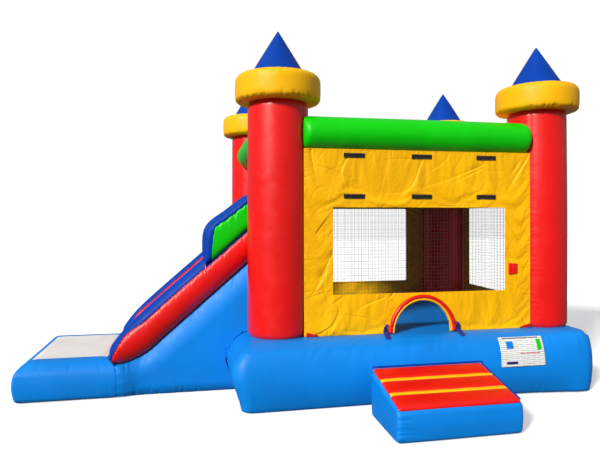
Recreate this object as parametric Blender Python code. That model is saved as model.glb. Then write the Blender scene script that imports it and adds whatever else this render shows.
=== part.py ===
"""Inflatable castle bounce house with a side slide, an entry ramp and a blower.

Metres, +Z up. The front faces -Y and the slide leaves the left side, towards -X.
Sizes are given in the house's own frame: x = 0 is midway between the towers and
y = 0 is where the front of the base meets the ground. One empty, house_frame,
carries every object, and shifts that frame so that the object's box is centred on
the origin.
"""

import math

import bmesh
import bpy
from mathutils import Matrix, Vector

GAP = 0.0005  # between pieces that rest on or against each other
SKIN = 0.02  # wall of the large air chambers, far thicker than the real vinyl
PORT_RADIUS = 0.07  # the air ports that join one chamber to the next

# Base cushion: its widest outline, and its edge as (height, inset from that outline)
BASE_HALF_X = 2.115
BASE_HALF_Y = 1.93
BASE_CENTRE = (-0.055, 1.79)
BASE_CORNER = 0.20
BASE_EDGE = (
    (0.0, 0.14),
    (0.076, 0.07),
    (0.209, 0.015),
    (0.342, 0.0),
    (0.475, 0.03),
    (0.58, 0.095),
    (0.646, 0.18),
    (0.675, 0.28),
)
BASE_TOP = BASE_EDGE[-1][0]
BASE_FRONT = BASE_CENTRE[1] - BASE_HALF_Y
BASE_REAR = BASE_CENTRE[1] + BASE_HALF_Y

# Towers, collars and cones
TOWER_X = 1.60
TOWER_FRONT_Y = 0.50
TOWER_REAR_Y = 3.08
TOWER_RADIUS = 0.34
TOWER_TOP = 3.235
TOWER_SIDES = 32
COLLAR_RADIUS = 0.475
COLLAR_TOP = 3.545
COLLAR_ROUND = 0.075
CONE_RADIUS = 0.31
CONE_TOP = 4.05
TOWERS = {
    "front_left": (-TOWER_X, TOWER_FRONT_Y),
    "front_right": (TOWER_X, TOWER_FRONT_Y),
    "rear_left": (-TOWER_X, TOWER_REAR_Y),
    "rear_right": (TOWER_X, TOWER_REAR_Y),
}

# Beams between the towers, set a little outside the towers' centre lines
BEAM_RADIUS = 0.19
BEAM_HEIGHT = 2.895
BEAM_OUTSET = 0.15
LEFT_BEAM_OUTSET = 0.095  # the slide side is set further in
BEAM_TUCK = 0.19  # how far a beam ends short of its towers' centre lines

# Walls: flat vinyl panels between the towers
WALL_OUTSET = 0.24
LEFT_WALL_OUTSET = 0.10
WALL_THICK = 0.008
WALL_BOTTOM = BASE_TOP + GAP
WALL_TOP = 2.724
LEFT_WALL_TOP = BEAM_HEIGHT - BEAM_RADIUS - 0.002
WALL_HALF_X = 1.355
WALL_HALF_Y = 1.045
LEFT_WALL_HALF_Y = 0.955
MID_Y = (TOWER_FRONT_Y + TOWER_REAR_Y) / 2
FRONT_WALL_Y = TOWER_FRONT_Y - WALL_OUTSET
BACK_WALL_Y = TOWER_REAR_Y + WALL_OUTSET
SIDE_WALL_X = TOWER_X + WALL_OUTSET
LEFT_WALL_X = -(TOWER_X + LEFT_WALL_OUTSET)
WINDOW_HALF_X = 1.03
WINDOW_HALF_Y = 0.85
FRONT_WINDOW_Z = (1.123, 2.081)
OTHER_WINDOW_Z = (0.90, 2.115)
NET_THICK = 0.004
NET_LAP = 0.025
ARCH_HALF = 0.34
ARCH_RISE = 0.355
ARCH_STEPS = 14
TRIM_RADIUS = 0.032
DOORWAY_Y = (1.00, 1.85)
DOORWAY_Z = (1.64, 2.50)
ROOF_Z = (2.985, 2.995)

# Trim on the front wall
STRIP_SIZE = (0.24, 0.004, 0.05)
STRIP_COLUMNS = {"left": -0.79, "middle": 0.0, "right": 0.79}
STRIP_ROWS = {"upper": 2.655, "lower": 2.204}
PULL_TAB = (1.128, 1.371)
BUCKLE_X = 0.435
BUCKLE_SIZE = (0.050, 0.016, 0.040)
BUCKLE_Z = BASE_TOP + 0.014
BUCKLE_TONGUE = (0.030, 0.006, 0.030)
LABEL_X = (0.745, 1.27)
LABEL_STAND = 0.0015
LABEL_THICK = 0.003

# Entry ramp
RAMP_X = (-0.80, 0.41)
RAMP_REAR_Y = -0.34
RAMP_FRONT_Y = -1.09
RAMP_REAR_TOP = 0.475
RAMP_FRONT_TOP = 0.32
RAMP_DECK = 0.05
RAMP_SLEEVE_RADIUS = 0.07
RAMP_SLEEVE_Z = 0.20

# Slide. Its walls, lane and body all follow one slope.
SLIDE_SLOPE = math.radians(41.0)
SLIDE_TOP_X = -1.865
SLIDE_END_X = -1.71  # where the slide meets the left wall, level from SLIDE_TOP_X on
SLIDE_CREST_X = -1.95
SLIDE_NOSE_X = -3.42
SLIDE_WALL_LOW = 1.418  # height of the walls' lower edge at SLIDE_CREST_X
SLIDE_WALL_SHOULDER = 0.376  # upright height from that edge to the guard's foot
SLIDE_WALL_HEIGHT = 0.50
SLIDE_LANE_HEIGHT = 0.22
WALL_FOOT_Z = 0.345  # the lowest point of the walls' noses
SLIDE_NEAR_Y = (0.70, 0.97)
SLIDE_FAR_Y = (1.88, 2.15)
SLIDE_BODY_Y = (0.72, 2.13)
GUARD_START_X = -2.42
GUARD_SHOULDER_Z = 1.70
GUARD_TOP_Z = 2.265
GUARD_ROUND = 0.26
LANDING_X = (-4.42, -3.34)
LANDING_Y = (0.66, 2.30)
LANDING_TOP = 0.425
LANDING_CORNER = 0.10
MAT_X = (-4.26, -3.47)
MAT_Y = (0.88, 2.04)
MAT_THICK = 0.006

# Climbing block inside the left side
CLIMB_X = (-1.66, -1.00)
CLIMB_Y = (0.88, 2.72)
CLIMB_TOP = 1.60
CLIMB_CREST_Y = 1.95

# Blower behind the house; the fan's axis runs along X
BLOWER_CENTRE = (0.95, 4.75, 0.225)
BLOWER_HALF_X = 0.125
BLOWER_SHELL = 0.006
SCROLL_START = 0.150
SCROLL_END = 0.195
OUTLET_REACH = 0.30
OUTLET_TOP = -0.02
INLET_RADIUS = 0.100
GRILLE_RADIUS = 0.116
GRILLE_THICK = 0.004
FAN_RADIUS = 0.125
FAN_HUB = 0.032
FAN_HALF_X = 0.045
FAN_BLADES = 10
SHAFT_RADIUS = 0.009
MOTOR_RADIUS = 0.080
MOTOR_LENGTH = 0.13
SWITCH_SIZE = (0.009, 0.018, 0.028)
SWITCH_PLACE = (0.095, 0.085)
SWITCH_LIFT = 0.0035
STAND_HALF = (0.15, 0.19)
STAND_HEIGHT = 0.035
SLEEVE_RADIUS = 0.115
SLEEVE_Z = 0.120

# Rear fittings
ZIP_X = (-0.75, -0.25)
ZIP_HALF_Z = 0.02
ZIP_THICK = 0.004
ZIP_SLIDER = (0.018, 0.012, 0.026)
RING_X = 1.45
RING_Z = 0.20
RING_STAND = 0.012  # from the base's widest outline out to the ring's bar
RING_HALF = 0.030
RING_DROP = 0.045
RING_WIRE = 0.004

# The object's box in the house's frame, which sets the origin
BOX_X = (LANDING_X[0], TOWER_X + COLLAR_RADIUS)
BOX_Y = (RAMP_FRONT_Y, BLOWER_CENTRE[1] + STAND_HALF[1])
FRAME_SHIFT = (-(BOX_X[0] + BOX_X[1]) / 2, -(BOX_Y[0] + BOX_Y[1]) / 2, 0.0)

# Colour, roughness and metallic value of each material
MATERIALS = {
    "blue_vinyl": ((0.0, 0.22, 0.80, 1.0), 0.35, 0.0),
    "royal_vinyl": ((0.0, 0.03, 0.50, 1.0), 0.32, 0.0),
    "red_vinyl": ((0.85, 0.01, 0.01, 1.0), 0.30, 0.0),
    "yellow_vinyl": ((0.98, 0.58, 0.0, 1.0), 0.38, 0.0),
    "green_vinyl": ((0.0, 0.58, 0.0, 1.0), 0.32, 0.0),
    "white_vinyl": ((0.88, 0.88, 0.86, 1.0), 0.45, 0.0),
    "netting": ((0.02, 0.02, 0.02, 1.0), 0.70, 0.0),
    "hook_tape": ((0.01, 0.01, 0.01, 1.0), 0.85, 0.0),
    "navy_plastic": ((0.01, 0.02, 0.18, 1.0), 0.40, 0.0),
    "black_plastic": ((0.02, 0.02, 0.02, 1.0), 0.45, 0.0),
    "blower_plastic": ((0.02, 0.05, 0.22, 1.0), 0.45, 0.0),
    "steel": ((0.55, 0.56, 0.58, 1.0), 0.30, 1.0),
}


# Building blocks ---------------------------------------------------------------


def clear_scene():
    for obj in list(bpy.data.objects):
        bpy.data.objects.remove(obj, do_unlink=True)


def make_materials():
    made = {}
    for name, (colour, roughness, metallic) in MATERIALS.items():
        material = bpy.data.materials.new(name)
        material.use_nodes = True
        shader = material.node_tree.nodes["Principled BSDF"]
        shader.inputs["Base Color"].default_value = colour
        shader.inputs["Roughness"].default_value = roughness
        shader.inputs["Metallic"].default_value = metallic
        made[name] = material
    return made


def make_frame():
    frame = bpy.data.objects.new("house_frame", None)
    bpy.context.collection.objects.link(frame)
    frame.location = FRAME_SHIFT
    return frame


def add_object(name, data, material, location=(0.0, 0.0, 0.0)):
    obj = bpy.data.objects.new(name, data)
    bpy.context.collection.objects.link(obj)
    obj.parent = FRAME
    obj.location = location
    if material:
        data.materials.append(PAINT[material])
    return obj


def add_mesh(name, shape, material, location=(0.0, 0.0, 0.0), smooth=True):
    """An object made from a bmesh, with its faces turned outwards."""
    bmesh.ops.remove_doubles(shape, verts=shape.verts, dist=1e-6)
    bmesh.ops.recalc_face_normals(shape, faces=shape.faces)
    mesh = bpy.data.meshes.new(name)
    shape.to_mesh(mesh)
    shape.free()
    if smooth:
        mesh.shade_smooth()
        mesh.set_sharp_from_angle(angle=math.radians(35))
    return add_object(name, mesh, material, location)


def loft(rings):
    """A closed solid through rings of equally many points."""
    shape = bmesh.new()
    loops = []
    for ring in rings:
        verts = [shape.verts.new(point) for point in ring]
        pairs = zip(verts, verts[1:] + verts[:1])
        loops.append([shape.edges.new(pair) for pair in pairs])
    for lower, upper in zip(loops, loops[1:]):
        bmesh.ops.bridge_loops(shape, edges=lower + upper)
    for loop in (loops[0], loops[-1]):
        bmesh.ops.contextual_create(shape, geom=loop)
    return shape


def rounded_rectangle(half_x, half_y, corner, z, steps=4):
    points = []
    signs = ((1, 1), (-1, 1), (-1, -1), (1, -1))
    for quarter, (sign_x, sign_y) in enumerate(signs):
        for step in range(steps + 1):
            angle = math.radians(90 * (quarter + step / steps))
            x = sign_x * (half_x - corner) + corner * math.cos(angle)
            y = sign_y * (half_y - corner) + corner * math.sin(angle)
            points.append((x, y, z))
    return points


def edged_cushion(name, centre, half, corner, edge, material):
    """A cushion whose outline steps in and out with height, as edge says."""
    rings = []
    for height, inset in edge:
        radius = max(corner - inset, 0.05)
        rings.append(rounded_rectangle(half[0] - inset, half[1] - inset, radius, height))
    return add_mesh(name, loft(rings), material, (centre[0], centre[1], 0.0))


def axis_turn(axis):
    """The rotation that takes +Z to the named axis."""
    if axis == "X":
        return Matrix.Rotation(math.radians(90), 4, "Y")
    if axis == "Y":
        return Matrix.Rotation(math.radians(-90), 4, "X")
    return Matrix.Identity(4)


def turned(name, profile, axis, centre, material, steps=TOWER_SIDES):
    """A solid of revolution; profile is (radius, distance along the axis) pairs."""
    shape = bmesh.new()
    verts = [shape.verts.new((radius, 0.0, along)) for radius, along in profile]
    edges = [shape.edges.new(pair) for pair in zip(verts, verts[1:])]
    turn = {"axis": (0, 0, 1), "cent": (0, 0, 0), "angle": 2 * math.pi}
    bmesh.ops.spin(shape, geom=verts + edges, steps=steps, use_merge=True, **turn)
    bmesh.ops.remove_doubles(shape, verts=shape.verts, dist=1e-6)
    bmesh.ops.transform(shape, matrix=axis_turn(axis), verts=shape.verts)
    return add_mesh(name, shape, material, centre)


def cylinder(name, radius, start, end, axis, centre, material, steps=24):
    profile = [(0.0, start), (radius, start), (radius, end), (0.0, end)]
    return turned(name, profile, axis, centre, material, steps)


def rounded_profile(radius, start, end, rounding, steps=4):
    """A turned profile with both of its outer edges rounded."""
    points = [(0.0, start)]
    for step in range(steps + 1):
        angle = math.radians(-90 + 90 * step / steps)
        out = radius - rounding + rounding * math.cos(angle)
        points.append((out, start + rounding + rounding * math.sin(angle)))
    for step in range(steps + 1):
        angle = math.radians(90 * step / steps)
        out = radius - rounding + rounding * math.cos(angle)
        points.append((out, end - rounding + rounding * math.sin(angle)))
    return points + [(0.0, end)]


def box(name, low, high, material):
    """A box between two corners, with its origin at its middle."""
    size = Vector(high) - Vector(low)
    shape = bmesh.new()
    bmesh.ops.create_cube(shape, size=1.0)
    bmesh.ops.scale(shape, vec=size, verts=shape.verts)
    return add_mesh(name, shape, material, (Vector(low) + Vector(high)) / 2, smooth=False)


def place(point, axis, along):
    """A point of an outline, put at a distance along the axis it is extruded on."""
    if axis == "X":
        return (along, point[0], point[1])
    return (point[0], along, point[1])


def pillow(name, outline, axis, span, shrink, rounding, material, middle=None):
    """An outline extruded along an axis, drawn in a little at its two ends."""
    middle_a = sum(point[0] for point in outline) / len(outline)
    middle_b = sum(point[1] for point in outline) / len(outline)
    if middle:
        middle_a, middle_b = middle
    small = []
    for a, b in outline:
        small.append((middle_a + (a - middle_a) * shrink, middle_b + (b - middle_b) * shrink))
    start, end = span
    levels = ((small, start), (outline, start + rounding), (outline, end - rounding), (small, end))
    rings = [[place(point, axis, along) for point in ring] for ring, along in levels]
    return add_mesh(name, loft(rings), material)


def extruded(name, outline, axis, span, material):
    rings = [[place(point, axis, along) for point in outline] for along in span]
    return add_mesh(name, loft(rings), material, smooth=False)


def arc(centre, radius, start, end, steps):
    """Points on an arc, between two angles in degrees."""
    points = []
    for step in range(steps + 1):
        angle = math.radians(start + (end - start) * step / steps)
        points.append((centre[0] + radius * math.cos(angle), centre[1] + radius * math.sin(angle)))
    return points


def boolean(target, tool, operation):
    modifier = target.modifiers.new(operation.lower(), "BOOLEAN")
    modifier.operation = operation
    modifier.object = tool
    modifier.solver = "EXACT"
    tool.hide_render = True
    tool.display_type = "WIRE"


def hollow(chamber, axis, centre, start, end):
    """Leave only a skin, opened by an air port that runs along an axis."""
    skin = chamber.modifiers.new("skin", "SOLIDIFY")
    skin.thickness = SKIN
    skin.offset = -1.0
    skin.use_even_offset = True
    port = cylinder(f"cutter_port_{chamber.name}", PORT_RADIUS, start, end, axis, centre, None, 16)
    boolean(chamber, port, "DIFFERENCE")


def bar(name, points, radius, material, closed=False, sides=2):
    """A round bar along points: a curve with a bevel and filled caps."""
    curve = bpy.data.curves.new(name, "CURVE")
    curve.dimensions = "3D"
    curve.bevel_depth = radius
    curve.bevel_resolution = sides
    curve.use_fill_caps = True
    spline = curve.splines.new("POLY")
    spline.points.add(len(points) - 1)
    for spot, point in zip(spline.points, points):
        spot.co = (*point, 1.0)
    spline.use_cyclic_u = closed
    return add_object(name, curve, material)


# Base, towers and beams --------------------------------------------------------


def make_base():
    half = (BASE_HALF_X, BASE_HALF_Y)
    base = edged_cushion("base_cushion", BASE_CENTRE, half, BASE_CORNER, BASE_EDGE, "blue_vinyl")
    inlet = (BLOWER_CENTRE[0], 0.0, SLEEVE_Z)
    hollow(base, "Y", inlet, BASE_REAR - 0.2, BASE_REAR + 0.05)


def make_tower(corner, spot):
    centre = (spot[0], spot[1], 0.0)
    foot, top = BASE_TOP + GAP, TOWER_TOP - GAP
    inner = TOWER_RADIUS - SKIN
    shaft = [(0.0, top), (inner, top), (TOWER_RADIUS, top - SKIN), (TOWER_RADIUS, foot)]
    shaft += [(inner, foot), (inner, top - 2 * SKIN), (0.0, top - 2 * SKIN)]
    turned(f"tower_{corner}", shaft, "Z", centre, "red_vinyl")
    collar = rounded_profile(COLLAR_RADIUS, TOWER_TOP, COLLAR_TOP, COLLAR_ROUND, 3)
    turned(f"collar_{corner}", collar, "Z", centre, "yellow_vinyl")
    foot = COLLAR_TOP + GAP
    cone = [(0.0, foot), (CONE_RADIUS, foot), (CONE_RADIUS, foot + 0.01), (0.0, CONE_TOP)]
    turned(f"cone_{corner}", cone, "Z", centre, "royal_vinyl", 24)


def tower_cutter(name, spot, clearance):
    """A post a little wider than a tower, which clears what meets that tower."""
    radius = TOWER_RADIUS + clearance
    centre = (spot[0], spot[1], 0.0)
    return cylinder(name, radius, 2.0, 3.2, "Z", centre, None, TOWER_SIDES)


def make_beam(side, axis, centre, half_length, towers):
    profile = rounded_profile(BEAM_RADIUS, -half_length, half_length, BEAM_RADIUS - 0.001, 5)
    beam = turned(f"beam_{side}", profile, axis, centre, "green_vinyl", 20)
    for corner in towers:
        cutter = tower_cutter(f"cutter_{side}_{corner}", TOWERS[corner], 0.002)
        boolean(beam, cutter, "DIFFERENCE")


def make_beams():
    long_x = TOWER_X - BEAM_TUCK
    long_y = (TOWER_REAR_Y - TOWER_FRONT_Y) / 2 - BEAM_TUCK
    out_x = TOWER_X + BEAM_OUTSET
    front = (0.0, TOWER_FRONT_Y - BEAM_OUTSET, BEAM_HEIGHT)
    back = (0.0, TOWER_REAR_Y + BEAM_OUTSET, BEAM_HEIGHT)
    make_beam("front", "X", front, long_x, ("front_left", "front_right"))
    make_beam("back", "X", back, long_x, ("rear_left", "rear_right"))
    left_x = -(TOWER_X + LEFT_BEAM_OUTSET)
    make_beam("left", "Y", (left_x, MID_Y, BEAM_HEIGHT), long_y, ("front_left", "rear_left"))
    make_beam("right", "Y", (out_x, MID_Y, BEAM_HEIGHT), long_y, ("front_right", "rear_right"))


def make_roof():
    reach = math.sqrt(BEAM_RADIUS**2 - (ROOF_Z[0] - BEAM_HEIGHT) ** 2) + 0.003
    half_x = TOWER_X + BEAM_OUTSET - reach
    left_x = -(TOWER_X + LEFT_BEAM_OUTSET - reach)
    half_y = MID_Y - TOWER_FRONT_Y + BEAM_OUTSET - reach
    low = (left_x, MID_Y - half_y, ROOF_Z[0])
    high = (half_x, MID_Y + half_y, ROOF_Z[1])
    roof = box("roof_panel", low, high, "yellow_vinyl")
    for corner, spot in TOWERS.items():
        boolean(roof, tower_cutter(f"cutter_roof_{corner}", spot, 0.004), "DIFFERENCE")


# Walls and nets ----------------------------------------------------------------


def arch_points(half, rise):
    """A half ellipse over the doorway, from its left foot to its right foot."""
    points = []
    for step in range(ARCH_STEPS + 1):
        angle = math.pi * (1 - step / ARCH_STEPS)
        points.append((half * math.cos(angle), WALL_BOTTOM + rise * math.sin(angle)))
    return points


def wall_outline(half, middle, arch=(), top=WALL_TOP):
    low = [(middle - half, WALL_BOTTOM), *arch, (middle + half, WALL_BOTTOM)]
    return low + [(middle + half, top), (middle - half, top)]


def cut_box(target, low, high):
    boolean(target, box(f"cutter_{target.name}", low, high, None), "DIFFERENCE")


def wall_span(place_on_axis):
    return (place_on_axis - WALL_THICK / 2, place_on_axis + WALL_THICK / 2)


def make_front_wall():
    outline = wall_outline(WALL_HALF_X, 0.0, arch_points(ARCH_HALF, ARCH_RISE))
    wall = extruded("wall_front", outline, "Y", wall_span(FRONT_WALL_Y), "yellow_vinyl")
    low, high = FRONT_WINDOW_Z
    y = FRONT_WALL_Y
    cut_box(wall, (-WINDOW_HALF_X, y - 0.1, low), (WINDOW_HALF_X, y + 0.1, high))


def make_back_wall():
    outline = wall_outline(WALL_HALF_X, 0.0)
    wall = extruded("wall_back", outline, "Y", wall_span(BACK_WALL_Y), "yellow_vinyl")
    low, high = OTHER_WINDOW_Z
    y = BACK_WALL_Y
    cut_box(wall, (-WINDOW_HALF_X, y - 0.1, low), (WINDOW_HALF_X, y + 0.1, high))


def make_side_walls():
    outline = wall_outline(WALL_HALF_Y, MID_Y)
    right = extruded("wall_right", outline, "X", wall_span(SIDE_WALL_X), "yellow_vinyl")
    near, far = MID_Y - WINDOW_HALF_Y, MID_Y + WINDOW_HALF_Y
    low, high = OTHER_WINDOW_Z
    cut_box(right, (SIDE_WALL_X - 0.1, near, low), (SIDE_WALL_X + 0.1, far, high))
    outline = wall_outline(LEFT_WALL_HALF_Y, MID_Y, top=LEFT_WALL_TOP)
    left = extruded("wall_left", outline, "X", wall_span(LEFT_WALL_X), "yellow_vinyl")
    near, far = DOORWAY_Y
    low, high = DOORWAY_Z
    cut_box(left, (LEFT_WALL_X - 0.1, near, low), (LEFT_WALL_X + 0.1, far, high))


def make_nets():
    """Each net lies on the inner face of its wall and laps the window's edges."""
    inner = WALL_THICK / 2 + GAP
    half_x = WINDOW_HALF_X + NET_LAP
    half_y = WINDOW_HALF_Y + NET_LAP
    low, high = FRONT_WINDOW_Z[0] - NET_LAP, FRONT_WINDOW_Z[1] + NET_LAP
    y = FRONT_WALL_Y + inner
    box("net_front", (-half_x, y, low), (half_x, y + NET_THICK, high), "netting")
    low, high = OTHER_WINDOW_Z[0] - NET_LAP, OTHER_WINDOW_Z[1] + NET_LAP
    y = BACK_WALL_Y - inner
    box("net_back", (-half_x, y - NET_THICK, low), (half_x, y, high), "netting")
    x = SIDE_WALL_X - inner
    near, far = MID_Y - half_y, MID_Y + half_y
    box("net_right", (x - NET_THICK, near, low), (x, far, high), "netting")


# Trim on the front -------------------------------------------------------------


def make_arch_trim():
    """A padded tube round the doorway, standing on the base."""
    y = FRONT_WALL_Y - WALL_THICK / 2 - GAP - TRIM_RADIUS
    route = arch_points(ARCH_HALF + TRIM_RADIUS, ARCH_RISE + TRIM_RADIUS)
    points = [(x, y, z + 0.01) for x, z in route]
    bar("arch_trim", points, TRIM_RADIUS, "red_vinyl")


def make_strips():
    wide, thick, tall = STRIP_SIZE
    y = FRONT_WALL_Y - WALL_THICK / 2 - GAP
    for row, z in STRIP_ROWS.items():
        for column, x in STRIP_COLUMNS.items():
            low = (x - wide / 2, y - thick, z - tall / 2)
            high = (x + wide / 2, y, z + tall / 2)
            box(f"hook_strip_{row}_{column}", low, high, "hook_tape")


def make_pull_tab():
    x, z = PULL_TAB
    y = FRONT_WALL_Y - WALL_THICK / 2 - GAP
    box("pull_tab", (x - 0.057, y - 0.010, z - 0.065), (x + 0.057, y, z + 0.065), "red_vinyl")


def make_buckle(side, x):
    """A side-release buckle: the socket is sewn low, and the plug pulls up out of it."""
    wide, thick, tall = BUCKLE_SIZE
    y = FRONT_WALL_Y - WALL_THICK / 2 - GAP - 0.004
    low = (x - wide / 2, y - thick, BUCKLE_Z)
    high = (x + wide / 2, y, BUCKLE_Z + tall)
    socket = box(f"buckle_socket_{side}", low, high, "navy_plastic")
    tongue_x, tongue_y, tongue_z = BUCKLE_TONGUE
    middle = y - thick / 2
    play = 0.001
    slot_low = (x - tongue_x / 2 - play, middle - tongue_y / 2 - play, high[2] - tongue_z - play)
    slot_high = (x + tongue_x / 2 + play, middle + tongue_y / 2 + play, high[2] + 0.01)
    cut_box(socket, slot_low, slot_high)
    head_low = (x - wide / 2, y - thick, high[2] + GAP)
    head_high = (x + wide / 2, y, high[2] + GAP + 0.022)
    plug = box(f"buckle_plug_{side}", head_low, head_high, "navy_plastic")
    tongue_low = (x - tongue_x / 2, middle - tongue_y / 2, high[2] - tongue_z)
    tongue_high = (x + tongue_x / 2, middle + tongue_y / 2, high[2] + 0.01)
    boolean(plug, box(f"cutter_tongue_{side}", tongue_low, tongue_high, None), "UNION")


def front_edge_offset(distance):
    """The base's front edge in the YZ plane, moved outwards by a distance."""
    points = [(BASE_FRONT + inset, height) for height, inset in BASE_EDGE]
    moved = []
    for index in range(3, len(points) - 1):
        before, after = Vector(points[index - 1]), Vector(points[index + 1])
        along = (after - before).normalized()
        normal = Vector((-along.y, along.x))
        moved.append(Vector(points[index]) + normal * distance)
    return moved


def make_label():
    """A flexible panel that follows the rounded upper front of the base."""
    inner = front_edge_offset(LABEL_STAND)
    outer = front_edge_offset(LABEL_STAND + LABEL_THICK)
    outline = [tuple(point) for point in inner] + [tuple(point) for point in reversed(outer)]
    extruded("info_label", outline, "X", LABEL_X, "white_vinyl")


# Entry ramp --------------------------------------------------------------------


def ramp_top(y):
    """Height of the ramp's finished top at a distance from the front."""
    share = (y - RAMP_FRONT_Y) / (RAMP_REAR_Y - RAMP_FRONT_Y)
    return RAMP_FRONT_TOP + share * (RAMP_REAR_TOP - RAMP_FRONT_TOP)


def make_ramp():
    front, rear = RAMP_FRONT_Y, RAMP_REAR_Y
    low = -RAMP_DECK - GAP
    body = [
        (front + 0.03, 0.0),
        (rear - 0.03, 0.0),
        (rear, 0.10),
        (rear, ramp_top(rear) + low),
        (front + 0.04, ramp_top(front + 0.04) + low),
        (front, 0.15),
    ]
    pillow("ramp_body", body, "X", RAMP_X, 0.93, 0.05, "blue_vinyl")
    deck = []
    for share in (0.0, 1 / 3, 2 / 3, 1.0):
        y = front + 0.06 + share * (rear - front - 0.07)
        deck.append((y, ramp_top(y)))
    under = [(y, ramp_top(y) - RAMP_DECK) for y in (deck[-1][0], deck[0][0])]
    span = (RAMP_X[0] + 0.04, RAMP_X[1] - 0.04)
    pillow("ramp_deck", deck + under, "X", span, 0.97, 0.02, "red_vinyl")
    middle = (sum(RAMP_X) / 2, 0.0, RAMP_SLEEVE_Z)
    start, end = rear + GAP, BASE_FRONT - GAP
    cylinder("ramp_sleeve", RAMP_SLEEVE_RADIUS, start, end, "Y", middle, "blue_vinyl", 16)


# Slide -------------------------------------------------------------------------


def slope_height(x, rise):
    """Height above the ground of a line parallel to the slide, rise above its walls' foot."""
    return SLIDE_WALL_LOW + rise + (x - SLIDE_CREST_X) * math.tan(SLIDE_SLOPE)


def wall_foot():
    """Where a slide wall's lower edge leaves the slope and turns level."""
    foot_x = SLIDE_NOSE_X + 0.38
    return [(foot_x, slope_height(foot_x, 0.0)), (foot_x - 0.17, WALL_FOOT_Z + 0.03)]


def wall_profile():
    """Side outline of a slide wall: a straight run with a rounded nose at its foot."""
    nose = [
        *wall_foot(),
        (SLIDE_NOSE_X + 0.04, WALL_FOOT_Z),
        (SLIDE_NOSE_X, WALL_FOOT_Z + 0.055),
        (SLIDE_NOSE_X + 0.01, WALL_FOOT_Z + 0.185),
        (SLIDE_NOSE_X + 0.09, WALL_FOOT_Z + 0.31),
    ]
    crest_x = GUARD_START_X - 0.01
    upper = [
        (crest_x, slope_height(crest_x, SLIDE_WALL_HEIGHT)),
        (GUARD_START_X, slope_height(GUARD_START_X, SLIDE_WALL_SHOULDER)),
        (SLIDE_TOP_X, slope_height(SLIDE_TOP_X, SLIDE_WALL_SHOULDER)),
        (SLIDE_END_X, slope_height(SLIDE_TOP_X, SLIDE_WALL_SHOULDER)),
        (SLIDE_END_X, slope_height(SLIDE_TOP_X, 0.0)),
        (SLIDE_TOP_X, slope_height(SLIDE_TOP_X, 0.0)),
    ]
    return nose + upper


def guard_profile():
    """Side outline of a guard: an upright front, a rounded shoulder and a sloping top."""
    foot = SLIDE_WALL_SHOULDER + GAP
    front = GUARD_START_X
    shoulder = arc((front + GUARD_ROUND, GUARD_SHOULDER_Z), GUARD_ROUND, 180, 115, 4)
    start = (front, slope_height(front, foot))
    end = slope_height(SLIDE_TOP_X, foot)
    top = [(SLIDE_TOP_X, GUARD_TOP_Z), (SLIDE_END_X, GUARD_TOP_Z + 0.05)]
    return [start, *shoulder, *top, (SLIDE_END_X, end), (SLIDE_TOP_X, end)]


def body_profile():
    """Side outline of the slide's body, notched to clear the base's rounded edge."""
    low_x = LANDING_X[1] + GAP
    right = BASE_CENTRE[0] - BASE_HALF_X - 0.01
    foot = [(x, z - GAP) for x, z in wall_foot()]
    return [
        (low_x, 0.0),
        (right, 0.0),
        (right, 0.53),
        (SLIDE_CREST_X, 0.70),
        (SLIDE_END_X, 0.70),
        (SLIDE_END_X, slope_height(SLIDE_TOP_X, -GAP)),
        (SLIDE_TOP_X, slope_height(SLIDE_TOP_X, -GAP)),
        *foot,
        (low_x, WALL_FOOT_Z - GAP),
    ]


def lane_profile():
    """Side outline of the inflated bed between the slide's walls."""
    foot = [(x, z + GAP) for x, z in wall_foot()]
    toe_x = LANDING_X[1] + GAP
    return [
        (SLIDE_TOP_X, slope_height(SLIDE_TOP_X, GAP)),
        (SLIDE_END_X, slope_height(SLIDE_TOP_X, GAP)),
        (SLIDE_END_X, slope_height(SLIDE_CREST_X, SLIDE_LANE_HEIGHT)),
        (SLIDE_CREST_X, slope_height(SLIDE_CREST_X, SLIDE_LANE_HEIGHT)),
        (toe_x, slope_height(toe_x, SLIDE_LANE_HEIGHT)),
        (toe_x, WALL_FOOT_Z + GAP),
        *reversed(foot),
    ]


def cut_by_tower(target):
    """Let a piece of the slide pass the tower that it stands against."""
    spot = (*TOWERS["front_left"], 0.0)
    radius = TOWER_RADIUS + 0.004
    name = f"cutter_{target.name}"
    boolean(target, cylinder(name, radius, 0.4, 3.2, "Z", spot, None, TOWER_SIDES), "DIFFERENCE")


def make_slide():
    near, far = SLIDE_NEAR_Y, SLIDE_FAR_Y
    body = pillow("slide_body", body_profile(), "Y", SLIDE_BODY_Y, 0.96, 0.05, "blue_vinyl")
    hollow(body, "X", (SLIDE_END_X, sum(SLIDE_BODY_Y) / 2, 0.3), -0.60, -0.30)
    cut_by_tower(body)
    extruded("slide_lane", lane_profile(), "Y", (near[1] + GAP, far[0] - GAP), "red_vinyl")
    for side, span in (("near", near), ("far", far)):
        heart = (SLIDE_TOP_X, slope_height(SLIDE_TOP_X, 0.22))
        wall = pillow(
            f"slide_wall_{side}", wall_profile(), "Y", span, 0.93, 0.06, "red_vinyl", heart
        )
        inner = (span[0] + 0.02, span[1] - 0.02)
        heart = (SLIDE_TOP_X, slope_height(SLIDE_TOP_X, 0.62))
        guard = pillow(
            f"slide_guard_{side}", guard_profile(), "Y", inner, 0.9, 0.05, "green_vinyl", heart
        )
        if side == "near":
            cut_by_tower(wall)
            cut_by_tower(guard)


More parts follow.
